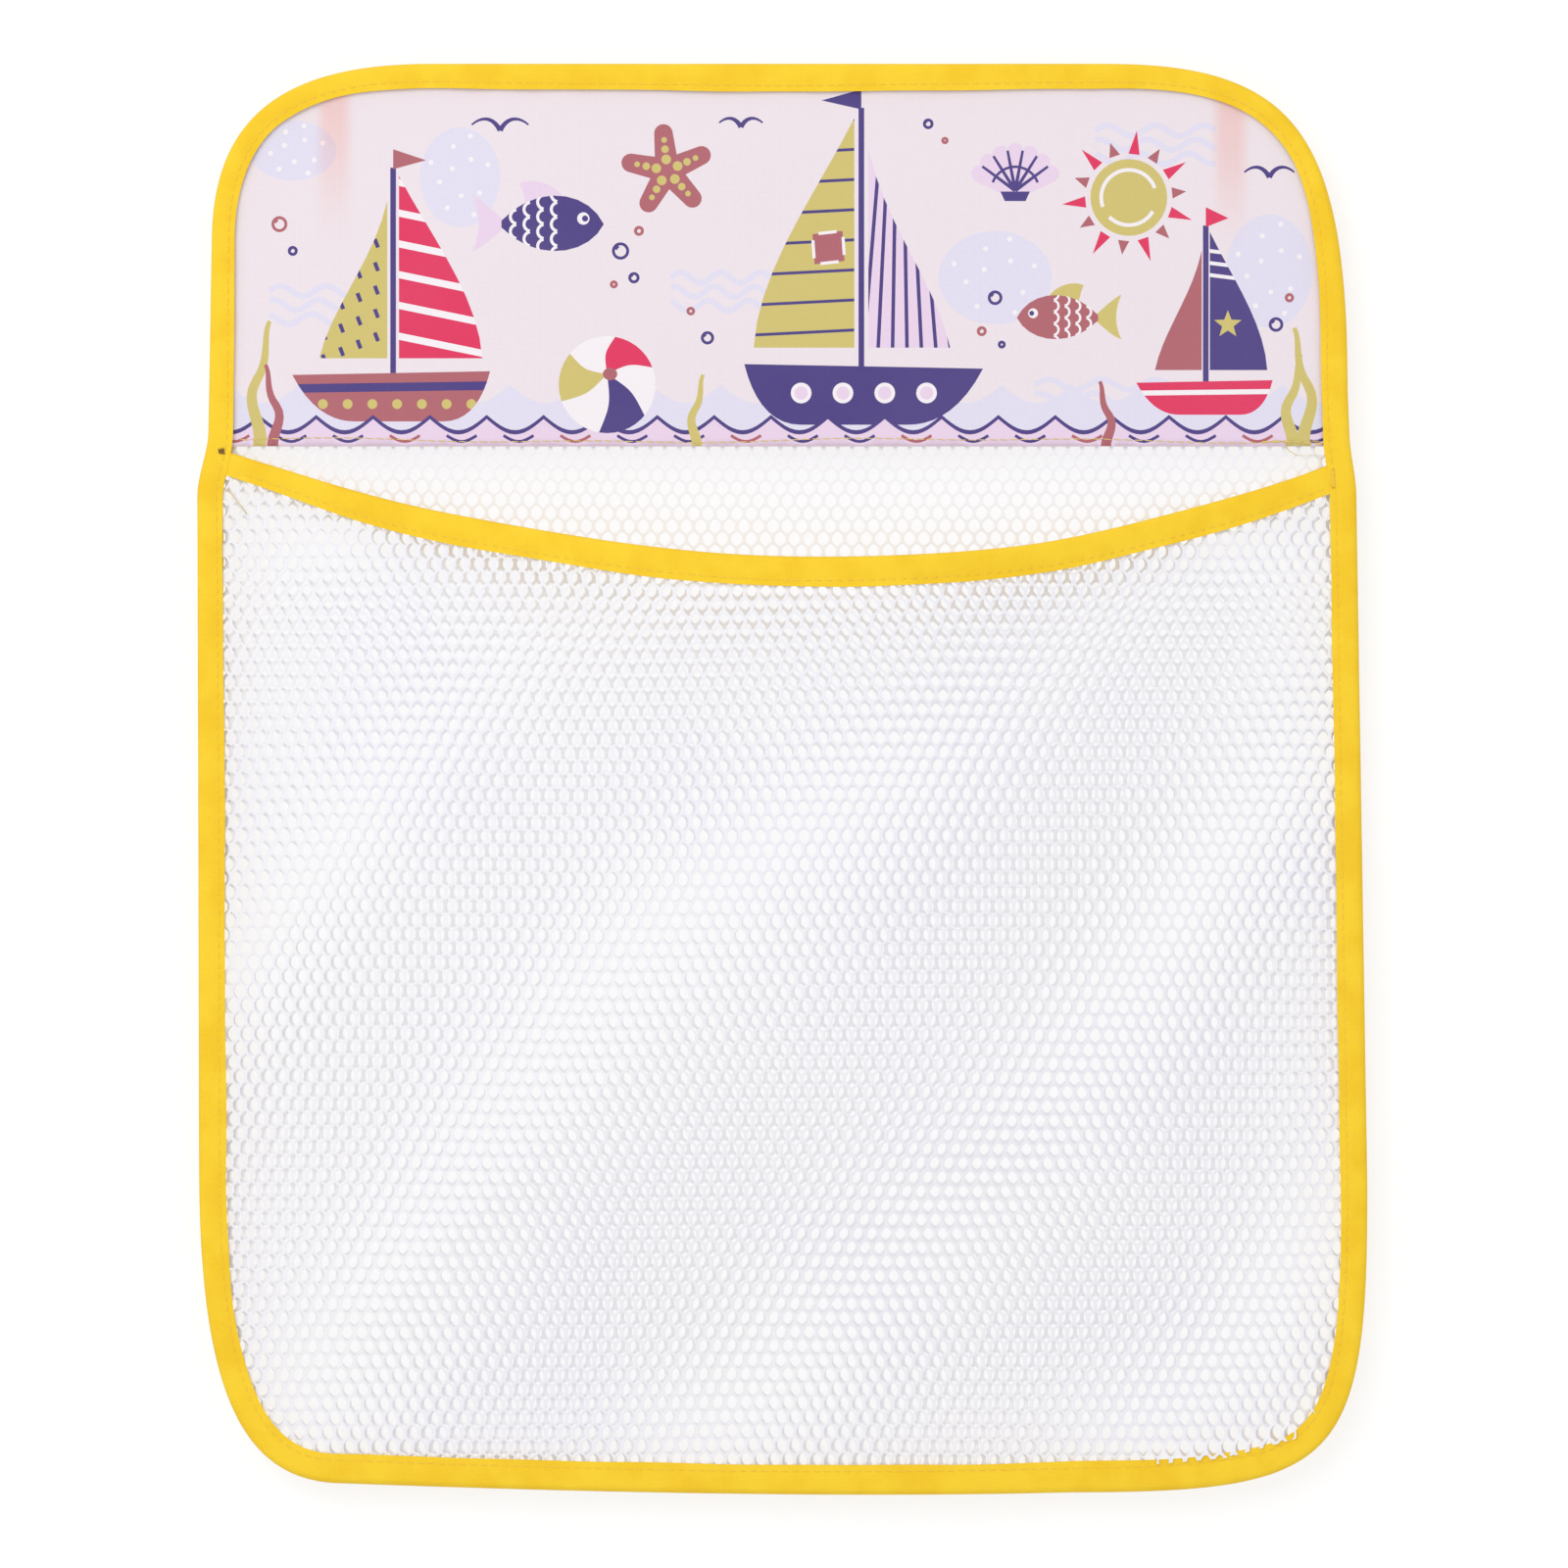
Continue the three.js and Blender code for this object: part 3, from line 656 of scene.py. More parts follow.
def white_room():
    """A world that is plain white to look at and a little dimmer as light."""
    world = bpy.data.worlds.new("white_room")
    world.use_nodes = True
    tree = world.node_tree
    seen = tree.nodes["Background"]
    fill(tree, seen, {"Color": (1.0, 1.0, 1.0, 1.0), "Strength": 1.0})
    lit = node(tree, "ShaderNodeBackground", {"Color": (0.98, 0.98, 1.0, 1.0), "Strength": ROOM_LIGHT})
    path = node(tree, "ShaderNodeLightPath").outputs
    either = arithmetic(tree, "MAXIMUM", path["Is Camera Ray"], path["Is Glossy Ray"])
    plain = arithmetic(tree, "MAXIMUM", either, path["Is Transmission Ray"])
    room = node(tree, "ShaderNodeMixShader", {0: plain, 1: lit.outputs[0], 2: seen.outputs[0]})
    fill(tree, tree.nodes["World Output"], {"Surface": room.outputs[0]})
    return world


# Making and placing pieces


def set_places(verts, x, depth, z):
    """Puts vertices at places on the front and depths, in the frame's metres."""
    for vert, across, deep, height in zip(verts, x, depth, z):
        vert.co = (across * MM, -deep * MM, height * MM)


def made_piece(bm, name, *materials):
    """A finished object at the origin from a bmesh."""
    for face in bm.faces:
        face.smooth = True
    mesh = bpy.data.meshes.new(name)
    bm.to_mesh(mesh)
    bm.free()
    for material in materials:
        mesh.materials.append(material)
    piece = bpy.data.objects.new(name, mesh)
    bpy.context.scene.collection.objects.link(piece)
    return piece


def thicken(piece, ply, offset=0.0, reverse=0):
    """Gives a sheet its thickness."""
    wall = piece.modifiers.new("thickness", "SOLIDIFY")
    wall.thickness = ply * MM
    wall.offset = offset
    wall.use_even_offset = True
    wall.material_offset = reverse


def stage_plane(name, material, matrix):
    """A plain square of two metres, sized, turned and placed by a matrix."""
    bm = bmesh.new()
    bmesh.ops.create_grid(bm, x_segments=8, y_segments=8, size=1.0, matrix=matrix)
    return made_piece(bm, name, material)


def repeated(bm, step, times):
    """Copies all of a bmesh a number of times, each copy a step further."""
    everything = bm.verts[:] + bm.edges[:] + bm.faces[:]
    bmesh.ops.spin(
        bm, geom=everything, axis=(0, 0, 1), dvec=step, angle=0.0, steps=times, use_duplicate=True
    )


def strip(along, across, weave_size, place, closed=False):
    """A woven strip: a grid whose shares along and across are put in place by a rule.

    The weave's size is where it starts along the strip, how far it runs, and its width.
    """
    bm = bmesh.new()
    bmesh.ops.create_grid(bm, x_segments=along, y_segments=across, size=0.5)
    weave = bm.loops.layers.float_vector.new("weave")
    start, run, width = weave_size
    for face in bm.faces:
        for loop in face.loops:
            at = loop.vert.co
            loop[weave] = (start + (at.x + 0.5) * run, (at.y + 0.5) * width, 0.0)
    shares = np.array([vert.co[:2] for vert in bm.verts]) + 0.5
    set_places(bm.verts, *place(shares[:, 0], shares[:, 1]))
    if closed:
        bmesh.ops.remove_doubles(bm, verts=bm.verts, dist=1e-7)
    bmesh.ops.recalc_face_normals(bm, faces=bm.faces)
    for edge in bm.edges:
        edge.smooth = not edge.is_boundary
    return bm


def fold(share, front, back, half, middle, ply):
    """Section of a folded tape from its back edge to its front edge: insets and depths of its middle line.

    Front and back are the widths that show on the two sides.
    """
    radius = half - ply / 2
    bend = math.pi * radius
    front_flat, back_flat = front - half, back - half
    run = share * (front_flat + bend + back_flat)
    turn = np.clip((run - back_flat) / radius, 0.0, math.pi)
    inset = half - radius * np.sin(turn)
    inset = inset + np.maximum(back_flat - run, 0.0) + np.maximum(run - back_flat - bend, 0.0)
    return inset, middle - radius * np.cos(turn)


def tape_rise(inset, shows, crown, stitch_turn):
    """How far a folded tape stands out between its fold and its seam, less where its stitches draw it in."""
    swell = np.sin(math.pi * np.clip(inset / (shows - SEAM_IN), 0, 1))
    dip = np.exp(-(((inset - shows + SEAM_IN) / SEAM_WIDE) ** 2))
    puckers = 0.5 + 0.5 * np.cos(stitch_turn)
    return crown * swell - size_of("tape_pucker") * dip * (0.6 + puckers)


def ribbon(line, wall, count, middle):
    """Tape folded in half along its length and led along a line of depths and heights, and its length.

    Its two plies lie a share of the wall to each side of the line, joined by a tight bend at one edge.
    """
    line, long = evenly(np.array(line), count)
    ahead = np.gradient(line, axis=0)
    ahead /= np.hypot(*ahead.T)[:, None]
    steps = np.arange(len(line))
    clear, share, tight = 0.05, 0.27, 24

    def section(along, across):
        turn = np.clip((across - 0.5) * tight, -0.5, 0.5) * math.pi
        off = wall * share * np.sin(turn)
        inset = (LOOP_WIDE - 2 * clear) * np.abs(2 * across - 1)
        depth, z, down, out = (np.interp(along * count, steps, each) for each in (*line.T, *ahead.T))
        return middle - LOOP_WIDE / 2 + clear + inset, depth - off * out, z + off * down

    return strip(count, 20, (0.0, long, TAPE_WIDTH), section), long


def follow_mouth(piece):
    """Bakes a half's placing into its own mesh."""
    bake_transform(piece)


def seam(places, depth_of, thicker=1.0, longer=1.0):
    """Stitches at equal spacings along a line of places on the front: middles, depths, leans and sizes."""
    count = int(np.hypot(*np.diff(places, axis=0).T).sum() / size_of("stitch_pitch"))
    points, _ = evenly(places, 2 * count)
    x, z = points[1::2].T
    step = points[2::2] - points[:-1:2]
    lean = np.arctan2(step[:, 1], step[:, 0]) - STITCH_LEAN
    long = np.full(count, longer * size_of("stitch_long"))
    thick = np.full(count, thicker * size_of("thread"))
    return np.stack([x, depth_of(x, z), z, lean, long, thick], axis=1)


def sewn(*seams):
    """Short threads with their ends drawn in, one for each stitch of the seams."""
    rows = np.vstack(seams)
    apart = 4
    bm = bmesh.new()
    bmesh.ops.create_uvsphere(bm, u_segments=6, v_segments=4, radius=1.0)
    repeated(bm, (apart, 0, 0), len(rows) - 1)
    own = np.array([vert.co for vert in bm.verts])
    which = np.rint(own[:, 0] / apart).astype(int)
    x, depth, z, lean, long, thick = rows[which].T
    up, out, along = (own[:, 0] - apart * which) * thick / 2, own[:, 1] * thick * 0.42, own[:, 2] * long / 2
    x = x + along * np.cos(lean) - up * np.sin(lean)
    z = z + along * np.sin(lean) + up * np.cos(lean)
    set_places(bm.verts, x, depth - out, z)
    bmesh.ops.recalc_face_normals(bm, faces=bm.faces)
    return bm


def thread_end(bm, points, thick):
    """A loose end of thread along points of place and depth."""
    stops = [Vector((x, -depth, z)) * MM for x, depth, z in points]
    ring = bmesh.ops.create_circle(bm, cap_ends=True, segments=5, radius=thick / 2 * MM)["verts"]
    run = (stops[1] - stops[0]).normalized()
    bmesh.ops.rotate(bm, verts=ring, matrix=run.to_track_quat("Z", "Y").to_matrix())
    bmesh.ops.translate(bm, verts=ring, vec=stops[0])
    face = next(f for f in ring[0].link_faces if len(f.verts) == 5)
    for a, b in zip(stops, stops[1:]):
        face = bmesh.ops.extrude_discrete_faces(bm, faces=[face])["faces"][0]
        bmesh.ops.translate(bm, verts=face.verts, vec=b - a)


# Print


def around(x, z, reach, degrees):
    """The point at a distance and an angle from a place."""
    turn = math.radians(degrees)
    return x + reach * math.cos(turn), z + reach * math.sin(turn)


def arc(x, z, radius, start, stop, count=12):
    return [around(x, z, radius, turn) for turn in np.linspace(start, stop, count)]


def oval(x, z, wide, tall, count):
    rounds = [2 * math.pi * k / count for k in range(count)]
    return [(x + wide * math.cos(a), z + tall * math.sin(a)) for a in rounds]


def swept(*knots, count=10):
    """A smooth line through Bezier points: a knot, then two handles and a knot for each run."""
    line = []
    for k in range(0, len(knots) - 1, 3):
        run = interpolate_bezier(*[Vector(p).to_3d() for p in knots[k : k + 4]], count)
        line += [tuple(p[:2]) for p in run[:-1]]
    return line + [knots[-1]]


def stroke(line, width, tip=1.0):
    """A drawn line of a width, narrowing to a share of it at its end."""
    points = np.array(line, float)
    ahead = np.gradient(points, axis=0)
    ahead /= np.hypot(*ahead.T)[:, None]
    half = width / 2 * np.linspace(1.0, tip, len(points))[:, None]
    side = np.stack([-ahead[:, 1], ahead[:, 0]], axis=1) * half
    return [tuple(p) for p in np.vstack([points - side, (points + side)[::-1]])]


def finer(outline, step):
    """An outline's points, with more between them so that none are further apart than a step."""
    ring = [Vector(p) for p in outline]
    more = []
    for a, b in zip(ring, ring[1:] + ring[:1]):
        count = max(1, math.ceil((b - a).length / step))
        more += [a.lerp(b, k / count) for k in range(count)]
    return more


class Print:
    """Inked shapes in the order of printing. A shape within another shows only inside it."""

    def __init__(self):
        self.shapes = []

    def add(self, ink, points, within=None):
        self.shapes.append((ink, points, within))
        return len(self.shapes) - 1

    def dot(self, ink, x, z, radius, count, within=None):
        return self.add(ink, oval(x, z, radius, radius, count), within)

    def boat(self, x, z, wide, tall, hull, main, fore, lean=1):
        """A sailing boat on the water: hull, mast, two sails and a pennant."""
        deep = 0.24 * wide
        head, boom, flag = deep + tall * 0.96, deep + tall * 0.08, deep + tall

        def at(px, pz):
            return x + lean * px * wide, z + pz

        self.add("navy", stroke([at(0.0, deep), at(0.0, flag)], 1.7))
        luff = [at(0.03, boom), at(0.03, boom + 20), at(0.03, head - 20), at(0.03, head)]
        leech = [at(0.2, head - tall * 0.3), at(0.44, boom + tall * 0.3), at(0.46, boom)]
        main_sail = self.add(main, swept(*luff, *leech))
        peak = at(-0.03, head * 0.9)
        bow = swept(peak, at(-0.1, head * 0.65), at(-0.32, boom + tall * 0.25), at(-0.38, boom))
        fore_sail = self.add(fore, [at(-0.03, boom), *bow])
        self.add(hull, [at(0.0, flag + 5.5), at(0.0, flag - 0.5), at(0.17, flag + 2.2)])
        stern = swept(at(-0.52, deep), at(-0.42, deep * 0.2), at(-0.3, 0.0), at(-0.2, 0.0))
        stem = swept(at(0.26, 0.0), at(0.38, 0.0), at(0.46, deep * 0.4), at(0.5, deep * 1.08))
        body = self.add(hull, stern + stem)
        return main_sail, fore_sail, body, z + boom

    def fish(self, x, z, long, body_ink, fin_ink, facing=1):
        """A round fish with a forked tail, fins, scales and an eye."""

        def at(px, pz):
            return x + facing * px * long, z + pz * long

        def line(*knots):
            return swept(*[at(*knot) for knot in knots])

        upper_lobe = ((-0.34, 0.0), (-0.45, 0.1), (-0.55, 0.2), (-0.66, 0.26))
        fork = ((-0.58, 0.08), (-0.58, -0.08), (-0.66, -0.24))
        lower_lobe = ((-0.55, -0.2), (-0.45, -0.1), (-0.34, 0.0))
        self.add(fin_ink, line(*upper_lobe, *fork, *lower_lobe)[:-1])
        fin_top = ((0.18, 0.18), (0.1, 0.36), (-0.12, 0.42), (-0.24, 0.36))
        fin_end = ((-0.2, 0.28), (-0.2, 0.2), (-0.16, 0.12))
        self.add(fin_ink, line(*fin_top, *fin_end))
        back = line((0.5, 0.0), (0.36, 0.3), (-0.1, 0.36), (-0.4, 0.03))
        belly = line((-0.4, -0.03), (-0.1, -0.34), (0.36, -0.28), (0.5, 0.0))
        body = self.add(body_ink, back + belly[:-1])
        start = 100 if facing > 0 else -80
        for column in range(4):
            for step in range(-2, 3):
                centre = at(0.1 - 0.12 * column, 0.13 * step + 0.065 * (column % 2))
                scale = arc(*centre, 0.062 * long, start, start + 160)
                self.add("chalk", stroke(scale, 0.026 * long), body)
        self.dot("chalk", *at(0.32, 0.05), 0.055 * long, 14)
        self.dot("navy", *at(0.335, 0.05), 0.028 * long, 10)

    def ball(self, x, z, radius, turn):
        """A beach ball of curved panels."""
        whole = self.dot("chalk", x, z, radius, 40)
        hub = Vector((x + 0.18 * radius * math.cos(math.radians(turn + 70)), z + 0.22 * radius))
        for k, ink in enumerate(("red", "ochre", "navy")):
            start = turn + 120 * k
            cap = arc(x, z, radius * 1.02, start, start + 60)
            bows = []
            for end in (cap[-1], cap[0]):
                run = Vector(end) - hub
                bows.append(hub + run / 2 + Vector((-run.y, run.x)).normalized() * 0.16 * radius)
            inner = swept(cap[-1], bows[0], bows[0], tuple(hub), bows[1], bows[1], cap[0])
            self.add(ink, cap + inner[1:-1], whole)
        self.add("clay", oval(x + 0.06 * radius, z + 0.22 * radius, 0.15 * radius, 0.13 * radius, 16))
        self.add("navy", stroke(arc(x, z, radius, 0, 360, 41), 0.9))

    def starfish(self, x, z, radius, turn):
        """A starfish with five round arms and rows of spots."""
        tips = [turn + 72 * k for k in range(5)]
        outline = []
        for tip in tips:
            outline += arc(*around(x, z, 0.8 * radius, tip), 0.2 * radius, tip - 80, tip + 80, 8)
            outline.append(around(x, z, 0.4 * radius, tip + 36))
        self.add("clay", outline)
        for tip in tips:
            for step in (0.24, 0.46, 0.66):
                self.dot("ochre", *around(x, z, step * radius, tip), 0.105 * radius * (1.25 - step), 10)

    def shell(self, x, z, radius, ink, line):
        """A scallop shell with ribs fanning from its foot."""
        fan, lobes = 150, 7
        starts = [165 - fan * k / lobes for k in range(lobes)]
        edge = []
        for start in starts:
            middle = start - fan / lobes / 2
            edge += arc(*around(x, z, 0.9 * radius, middle), 0.2 * radius, middle + 85, middle - 85, 8)
        low = z - 0.12 * radius
        body = self.add(ink, edge + [(x + 0.2 * radius, low), (x - 0.2 * radius, low)])
        for start in starts[1:]:
            self.add(line, stroke([(x, z), around(x, z, 0.95 * radius, start)], 1.1, 0.7), body)
        self.add(line, stroke(arc(x, z, 0.55 * radius, 160, 20, 16), 0.8), body)
        foot = ((-0.34, -0.02), (0.34, -0.02), (0.24, -0.24), (-0.24, -0.24))
        self.add(line, [(x + radius * px, z + radius * pz) for px, pz in foot])

    def sun(self, x, z, radius):
        """A round sun with pointed rays and a broken ring."""
        rays, half = 14, math.degrees(0.13)
        for k in range(rays):
            turn = 360 * k / rays + 6
            tip = around(x, z, radius * (1.75 if k % 2 else 1.5), turn)
            feet = [around(x, z, 1.14 * radius, turn + side * half) for side in (-1, 1)]
            self.add("red" if k % 2 else "clay", [feet[0], tip, feet[1]])
        self.dot("ochre", x, z, radius, 36)
        self.add("chalk", stroke(arc(x, z, 0.72 * radius, 20, 200, 20), 1.1))
        self.add("chalk", stroke(arc(x, z, 0.72 * radius, 225, 330, 14), 1.1))

    def weed(self, x, z, tall, ink, sway, width):
        """A waving blade of water weed."""
        bends = ((0, 0), (1, 0.2), (-1, 0.35), (0, 0.55), (1, 0.72), (0.4, 0.88), (0.9, 1))
        self.add(ink, stroke(swept(*[(x + sway * px, z + tall * pz) for px, pz in bends]), width, 0.3))

    def gull(self, x, z, wide):
        """A gull far off, as two bowed strokes."""
        wing = ((0, 0), (0.12, 0.24), (0.32, 0.26), (0.5, 0.1))
        for side, _ in SIDES:
            line = swept(*[(x + side * px * wide, z + pz * wide) for px, pz in wing])
            self.add("navy", stroke(line, 1.5, 0.35))

    def bubble(self, x, z, radius, ink, width=0.9):
        """A drawn ring with a short glint."""
        self.dot(ink, x, z, radius, 24)
        self.dot("ground", x, z, radius - width, 24)
        self.add(ink, stroke(arc(x, z, radius * 0.55, 110, 165, 6), width * 0.8))

    def waves(self, ink, crest, pitch, deep, shift):
        """A band of water with a row of pointed crests, down past the header's foot."""
        wide = 380
        shares = np.linspace(0, 1, 13)[:-1]
        top = []
        for k in range(int(wide / pitch) + 1):
            x = shift - wide / 2 + k * pitch
            top += [(x + pitch * s, crest - deep * math.sin(math.pi * s)) for s in shares]
        self.add(ink, top + [(top[-1][0], PRINT_FOOT), (top[0][0], PRINT_FOOT)])


def print_haze(sheet):
    """Pale spotted ovals, ripples and far water behind everything else."""
    for x, z, wide, tall in ((-146, -22, 13, 9), (-96, -30, 12, 15), (64, -60, 17, 14), (146, -58, 13, 17)):
        sheet.add("mist", oval(x, z, wide, tall, 30))
        for k in range(1, 12):
            reach, turn = 0.26 * math.sqrt(k), 2.4 * k
            aside, rise = reach * wide * math.cos(turn), reach * tall * math.sin(turn)
            sheet.dot("chalk", x + aside, z + rise, 0.8, 8)
    shares = np.linspace(0, 1, 31)
    for x, z, wide in ((-136, -64, 34), (-18, -60, 30), (112, -16, 36), (96, -92, 40)):
        for k in range(3):
            low = z - 4.2 * k
            line = [(x + wide * (s - 0.5), low + 1.6 * math.sin(5 * math.pi * s + k)) for s in shares]
            sheet.add("mist", stroke(line, 1.8))
    sheet.waves("mist", -92, 21, 5.5, 4)


def print_striped_boat(sheet):
    """The left boat: a striped sail, a flecked one, and spots along its hull."""
    main, fore, body, boom = sheet.boat(-116, -103, 58, 62, "clay", "red", "ochre")
    for k in range(6):
        z = boom + 4 + 9.2 * k
        sheet.add("chalk", stroke([(-118, z + 3.4), (-84, z - 3.6)], 2.1), main)
    for k in range(7):
        for m in range(4):
            x, z = -120.5 - 5.2 * m, -79 + 7 * k - 2.2 * m
            sheet.add("navy", stroke([(x, z), (x - 1.0, z + 2.6)], 1.2), fore)
    sheet.add("navy", stroke([(-150, -93.2), (-80, -92.2)], 2.6), body)
    for k in range(7):
        sheet.dot("ochre", -137 + 7.4 * k, -97.8, 1.5, 12, body)


def print_patched_boat(sheet):
    """The middle boat: a patched sail with seams, a ribbed one, and round windows in its hull."""
    main, fore, _, boom = sheet.boat(24, -104, 70, 78, "navy", "ochre", "lilac", -1)
    for k in range(8):
        z = boom + 3.5 + 9 * k
        sheet.add("navy", stroke([(-14, z), (26, z + 2)], 0.9), main)
    patch = [Vector(p) for p in ((10, -56), (19, -55), (18.4, -46), (9.4, -47))]
    sheet.add("clay", patch, main)
    for a, b in zip(patch, patch[1:] + patch[:1]):
        sheet.add("chalk", stroke([a.lerp(b, 0.2), a.lerp(b, 0.8)], 0.9), main)
    for k in range(9):
        sheet.add("navy", stroke([(24 + 4.6 * k, -90), (30 + 2.2 * k, -16)], 1.1), fore)
    for k in range(4):
        sheet.dot("chalk", 6 + 12.5 * k, -94.5, 3.1, 20)
        sheet.dot("lilac", 6 + 12.5 * k, -94.5, 2.0, 16)


def print_star_boat(sheet):
    """The small right boat: a star and bars on its sail, and a line along its hull."""
    main, _, body, _ = sheet.boat(127, -101, 40, 47, "red", "navy", "clay")
    star = [around(133.6, -74, 1.8 if k % 2 else 4.3, 90 + 36 * k) for k in range(10)]
    sheet.add("ochre", star, main)
    for k in range(3):
        sheet.add("chalk", stroke([(128, -52 - 3.6 * k), (140, -53.5 - 3.6 * k)], 1.1), main)
    sheet.add("chalk", stroke([(100, -94.6), (150, -94.0)], 1.5), body)


def print_water(sheet):
    """Near water with a drawn crest, and short curls below it."""
    sheet.waves("navy", -101.0, 17, 4.6, 0)
    sheet.waves("lilac", -102.3, 17, 4.6, 0)
    for k in range(24):
        x = -185 + 17 * k
        line = [(x + 9 * s, -107.2 - 1.8 * math.sin(math.pi * s)) for s in np.linspace(0, 1, 9)]
        sheet.add("clay" if k % 3 == 1 else "navy", stroke(line, 0.9))


def sea_print():
    """The header's print: boats, fish, shells and a ball over rows of waves."""
    sheet = Print()
    print_haze(sheet)
    print_striped_boat(sheet)
    print_patched_boat(sheet)
    print_star_boat(sheet)
    print_water(sheet)
    sheet.ball(-52, -92, 14.5, 20)
    sheet.fish(-70, -44, 34, "navy", "lilac")
    sheet.fish(84, -72, 27, "clay", "ochre", -1)
    sheet.starfish(-34, -28, 14, 96)
    sheet.shell(70, -34, 13, "lilac", "navy")
    sheet.sun(104, -36, 11.5)
    for x, z, wide in ((-84, -16, 17), (-12, -15, 13), (146, -30, 15)):
        sheet.gull(x, z, wide)
    for x, z, radius, ink in (
        (-48, -52, 2.6, "navy"), (-44, -60, 1.7, "navy"), (-50, -62, 1.2, "clay"), (-42.5, -46, 1.5, "clay"),
        (64, -66, 2.2, "navy"), (60, -76, 1.5, "clay"), (66, -80, 1.2, "navy"),
        (-150, -44, 2.4, "clay"), (-146, -52, 1.5, "navy"), (148, -74, 2.2, "navy"), (152, -66, 1.4, "clay"),
        (-22, -78, 2.0, "navy"), (-27, -70, 1.3, "clay"), (44, -14, 1.6, "navy"), (49, -19, 1.1, "clay"),
    ):
        sheet.bubble(x, z, radius, ink)
    for x, tall, ink, sway, width in (
        (-157, 40, "ochre", 4.5, 4.2), (-151, 27, "clay", -3.5, 3.6), (157.5, 38, "ochre", -4.5, 4.2),
        (152, 30, "ochre", 3.8, 4.2), (-26, 24, "ochre", 3.0, 3.4), (98, 22, "clay", -3.0, 3.4),
    ):
        sheet.weed(x, PRINT_FOOT, tall, ink, sway, width)
    return sheet.shapes


def header_outline(foot):
    """Cut line of the header's cloth down to its foot, and the left and right ends of the foot."""
    ring = edge_point(np.arange(0, 1, 1 / 400), np.full(400, HEADER_IN))
    above = ring[ring[:, 1] > foot + 1.5]
    lowest_left = int(np.argmin(above[:, 1] + 1000 * (above[:, 0] > 0)))
    left, right = (edge_point(edge_share(side["header"], foot), HEADER_IN)[0] for side in (LEFT, RIGHT))
    outline = np.vstack([np.roll(above, -lowest_left, axis=0), [right, foot], [left, foot]])
    return [tuple(p) for p in outline[::-1]], left, right


def inked_cloth(shapes):
    """A flat sheet of triangles that follow the outlines of printed shapes, inked by the top shape.

    The first shape is the sheet itself. Away from the outlines the sheet has a plain grid of points.
    """
    grid, clear = 3.0, 0.9
    points, faces, drawn = [], [], []
    for _, outline, _ in shapes:
        outline = np.array(outline)
        after = np.roll(outline, -1, axis=0)
        if (outline[:, 0] * after[:, 1] - after[:, 0] * outline[:, 1]).sum() < 0:
            outline = outline[::-1]
        outline = finer(outline, 2.5)
        faces.append(list(range(len(points), len(points) + len(outline))))
        points += outline
        drawn += finer(outline, 0.7)
    near = KDTree(len(drawn))
    for k, point in enumerate(drawn):
        near.insert(point.to_3d(), k)
    near.balance()
    spare = [Vector((x, z)) for z in np.arange(-108, 2, grid) for x in np.arange(-166, 166, grid)]
    points += [p for p in spare if near.find(p.to_3d())[2] > clear]
    flat, _, cut, _, _, owners = delaunay_2d_cdt(points, [], faces, 1, 1e-4, True)

    bm = bmesh.new()
    layer = bm.loops.layers.float_color.new("ink")
    verts = [bm.verts.new((p.x, 0.0, p.y)) for p in flat]
    for tips, over in zip(cut, owners):
        if 0 not in over:
            continue
        shown = [k for k in over if k == 0 or shapes[k][2] is None or shapes[k][2] + 1 in over]
        colour = (*colour_of(shapes[max(shown)][0]), 1.0)
        for loop in bm.faces.new([verts[k] for k in tips]).loops:
            loop[layer] = colour
    bmesh.ops.delete(bm, geom=[v for v in bm.verts if not v.link_faces], context="VERTS")
    return bm


# Nets


def net_cells(pitch, row, top, bottom, wide):
    """Upright six-sided cells in rows, each row half a cell aside of the one above it."""
    tip, side = row * (1 - CELL_SIDE), row * CELL_SIDE
    tips = [(0, tip), (pitch / 2, side), (pitch / 2, -side)]
    tips += [(-x, -z) for x, z in tips]
    columns = math.ceil(wide / pitch)
    rows = math.ceil((top - bottom) / (2 * row))
    bm = bmesh.new()
    ring = bmesh.ops.create_circle(bm, cap_ends=True, segments=12, radius=1.0)["verts"]
    for k, vert in enumerate(ring):
        x, z = (np.array(tips[k // 2]) + np.array(tips[(k + 1) // 2 % 6])) / 2
        vert.co = (x - columns * pitch / 2, 0.0, z + top)
    repeated(bm, (pitch, 0, 0), columns)
    repeated(bm, (pitch / 2, 0, -row), 1)
    repeated(bm, (0, 0, -2 * row), rows)
    bmesh.ops.remove_doubles(bm, verts=bm.verts, dist=pitch / 50)
    return bm


def loosen(bm):
    """Spreads the back net's rows below the rim and draws them aside, where the net is less stretched."""
    for vert in bm.verts:
        drop = max(0.0, LOOSE_BELOW - vert.co.z)
        vert.co.z -= 0.118 * drop * drop / (drop + 30.0)
        vert.co.x += 0.03 * drop


def round_holes(cells, wide, tall):
    """Draws the holes' corners in and their sides out, half way to ovals of a width and height."""
    for cell in cells:
        middle = cell.calc_center_median()
        for vert in cell.verts:
            out = vert.co - middle
            reach = math.hypot(out.x / wide * 2, out.z / tall * 2)
            vert.co = middle + out * (0.5 + 0.5 / reach)


def drifted(x, z):
    """Places moved as hand-sewn net wanders from straight rows."""
    across, up = (size_of("net_drift") * billow(x, z, NET_WAVE, NET_WAVE, seed) for seed in NET_SEEDS)
    return x + across, z + up


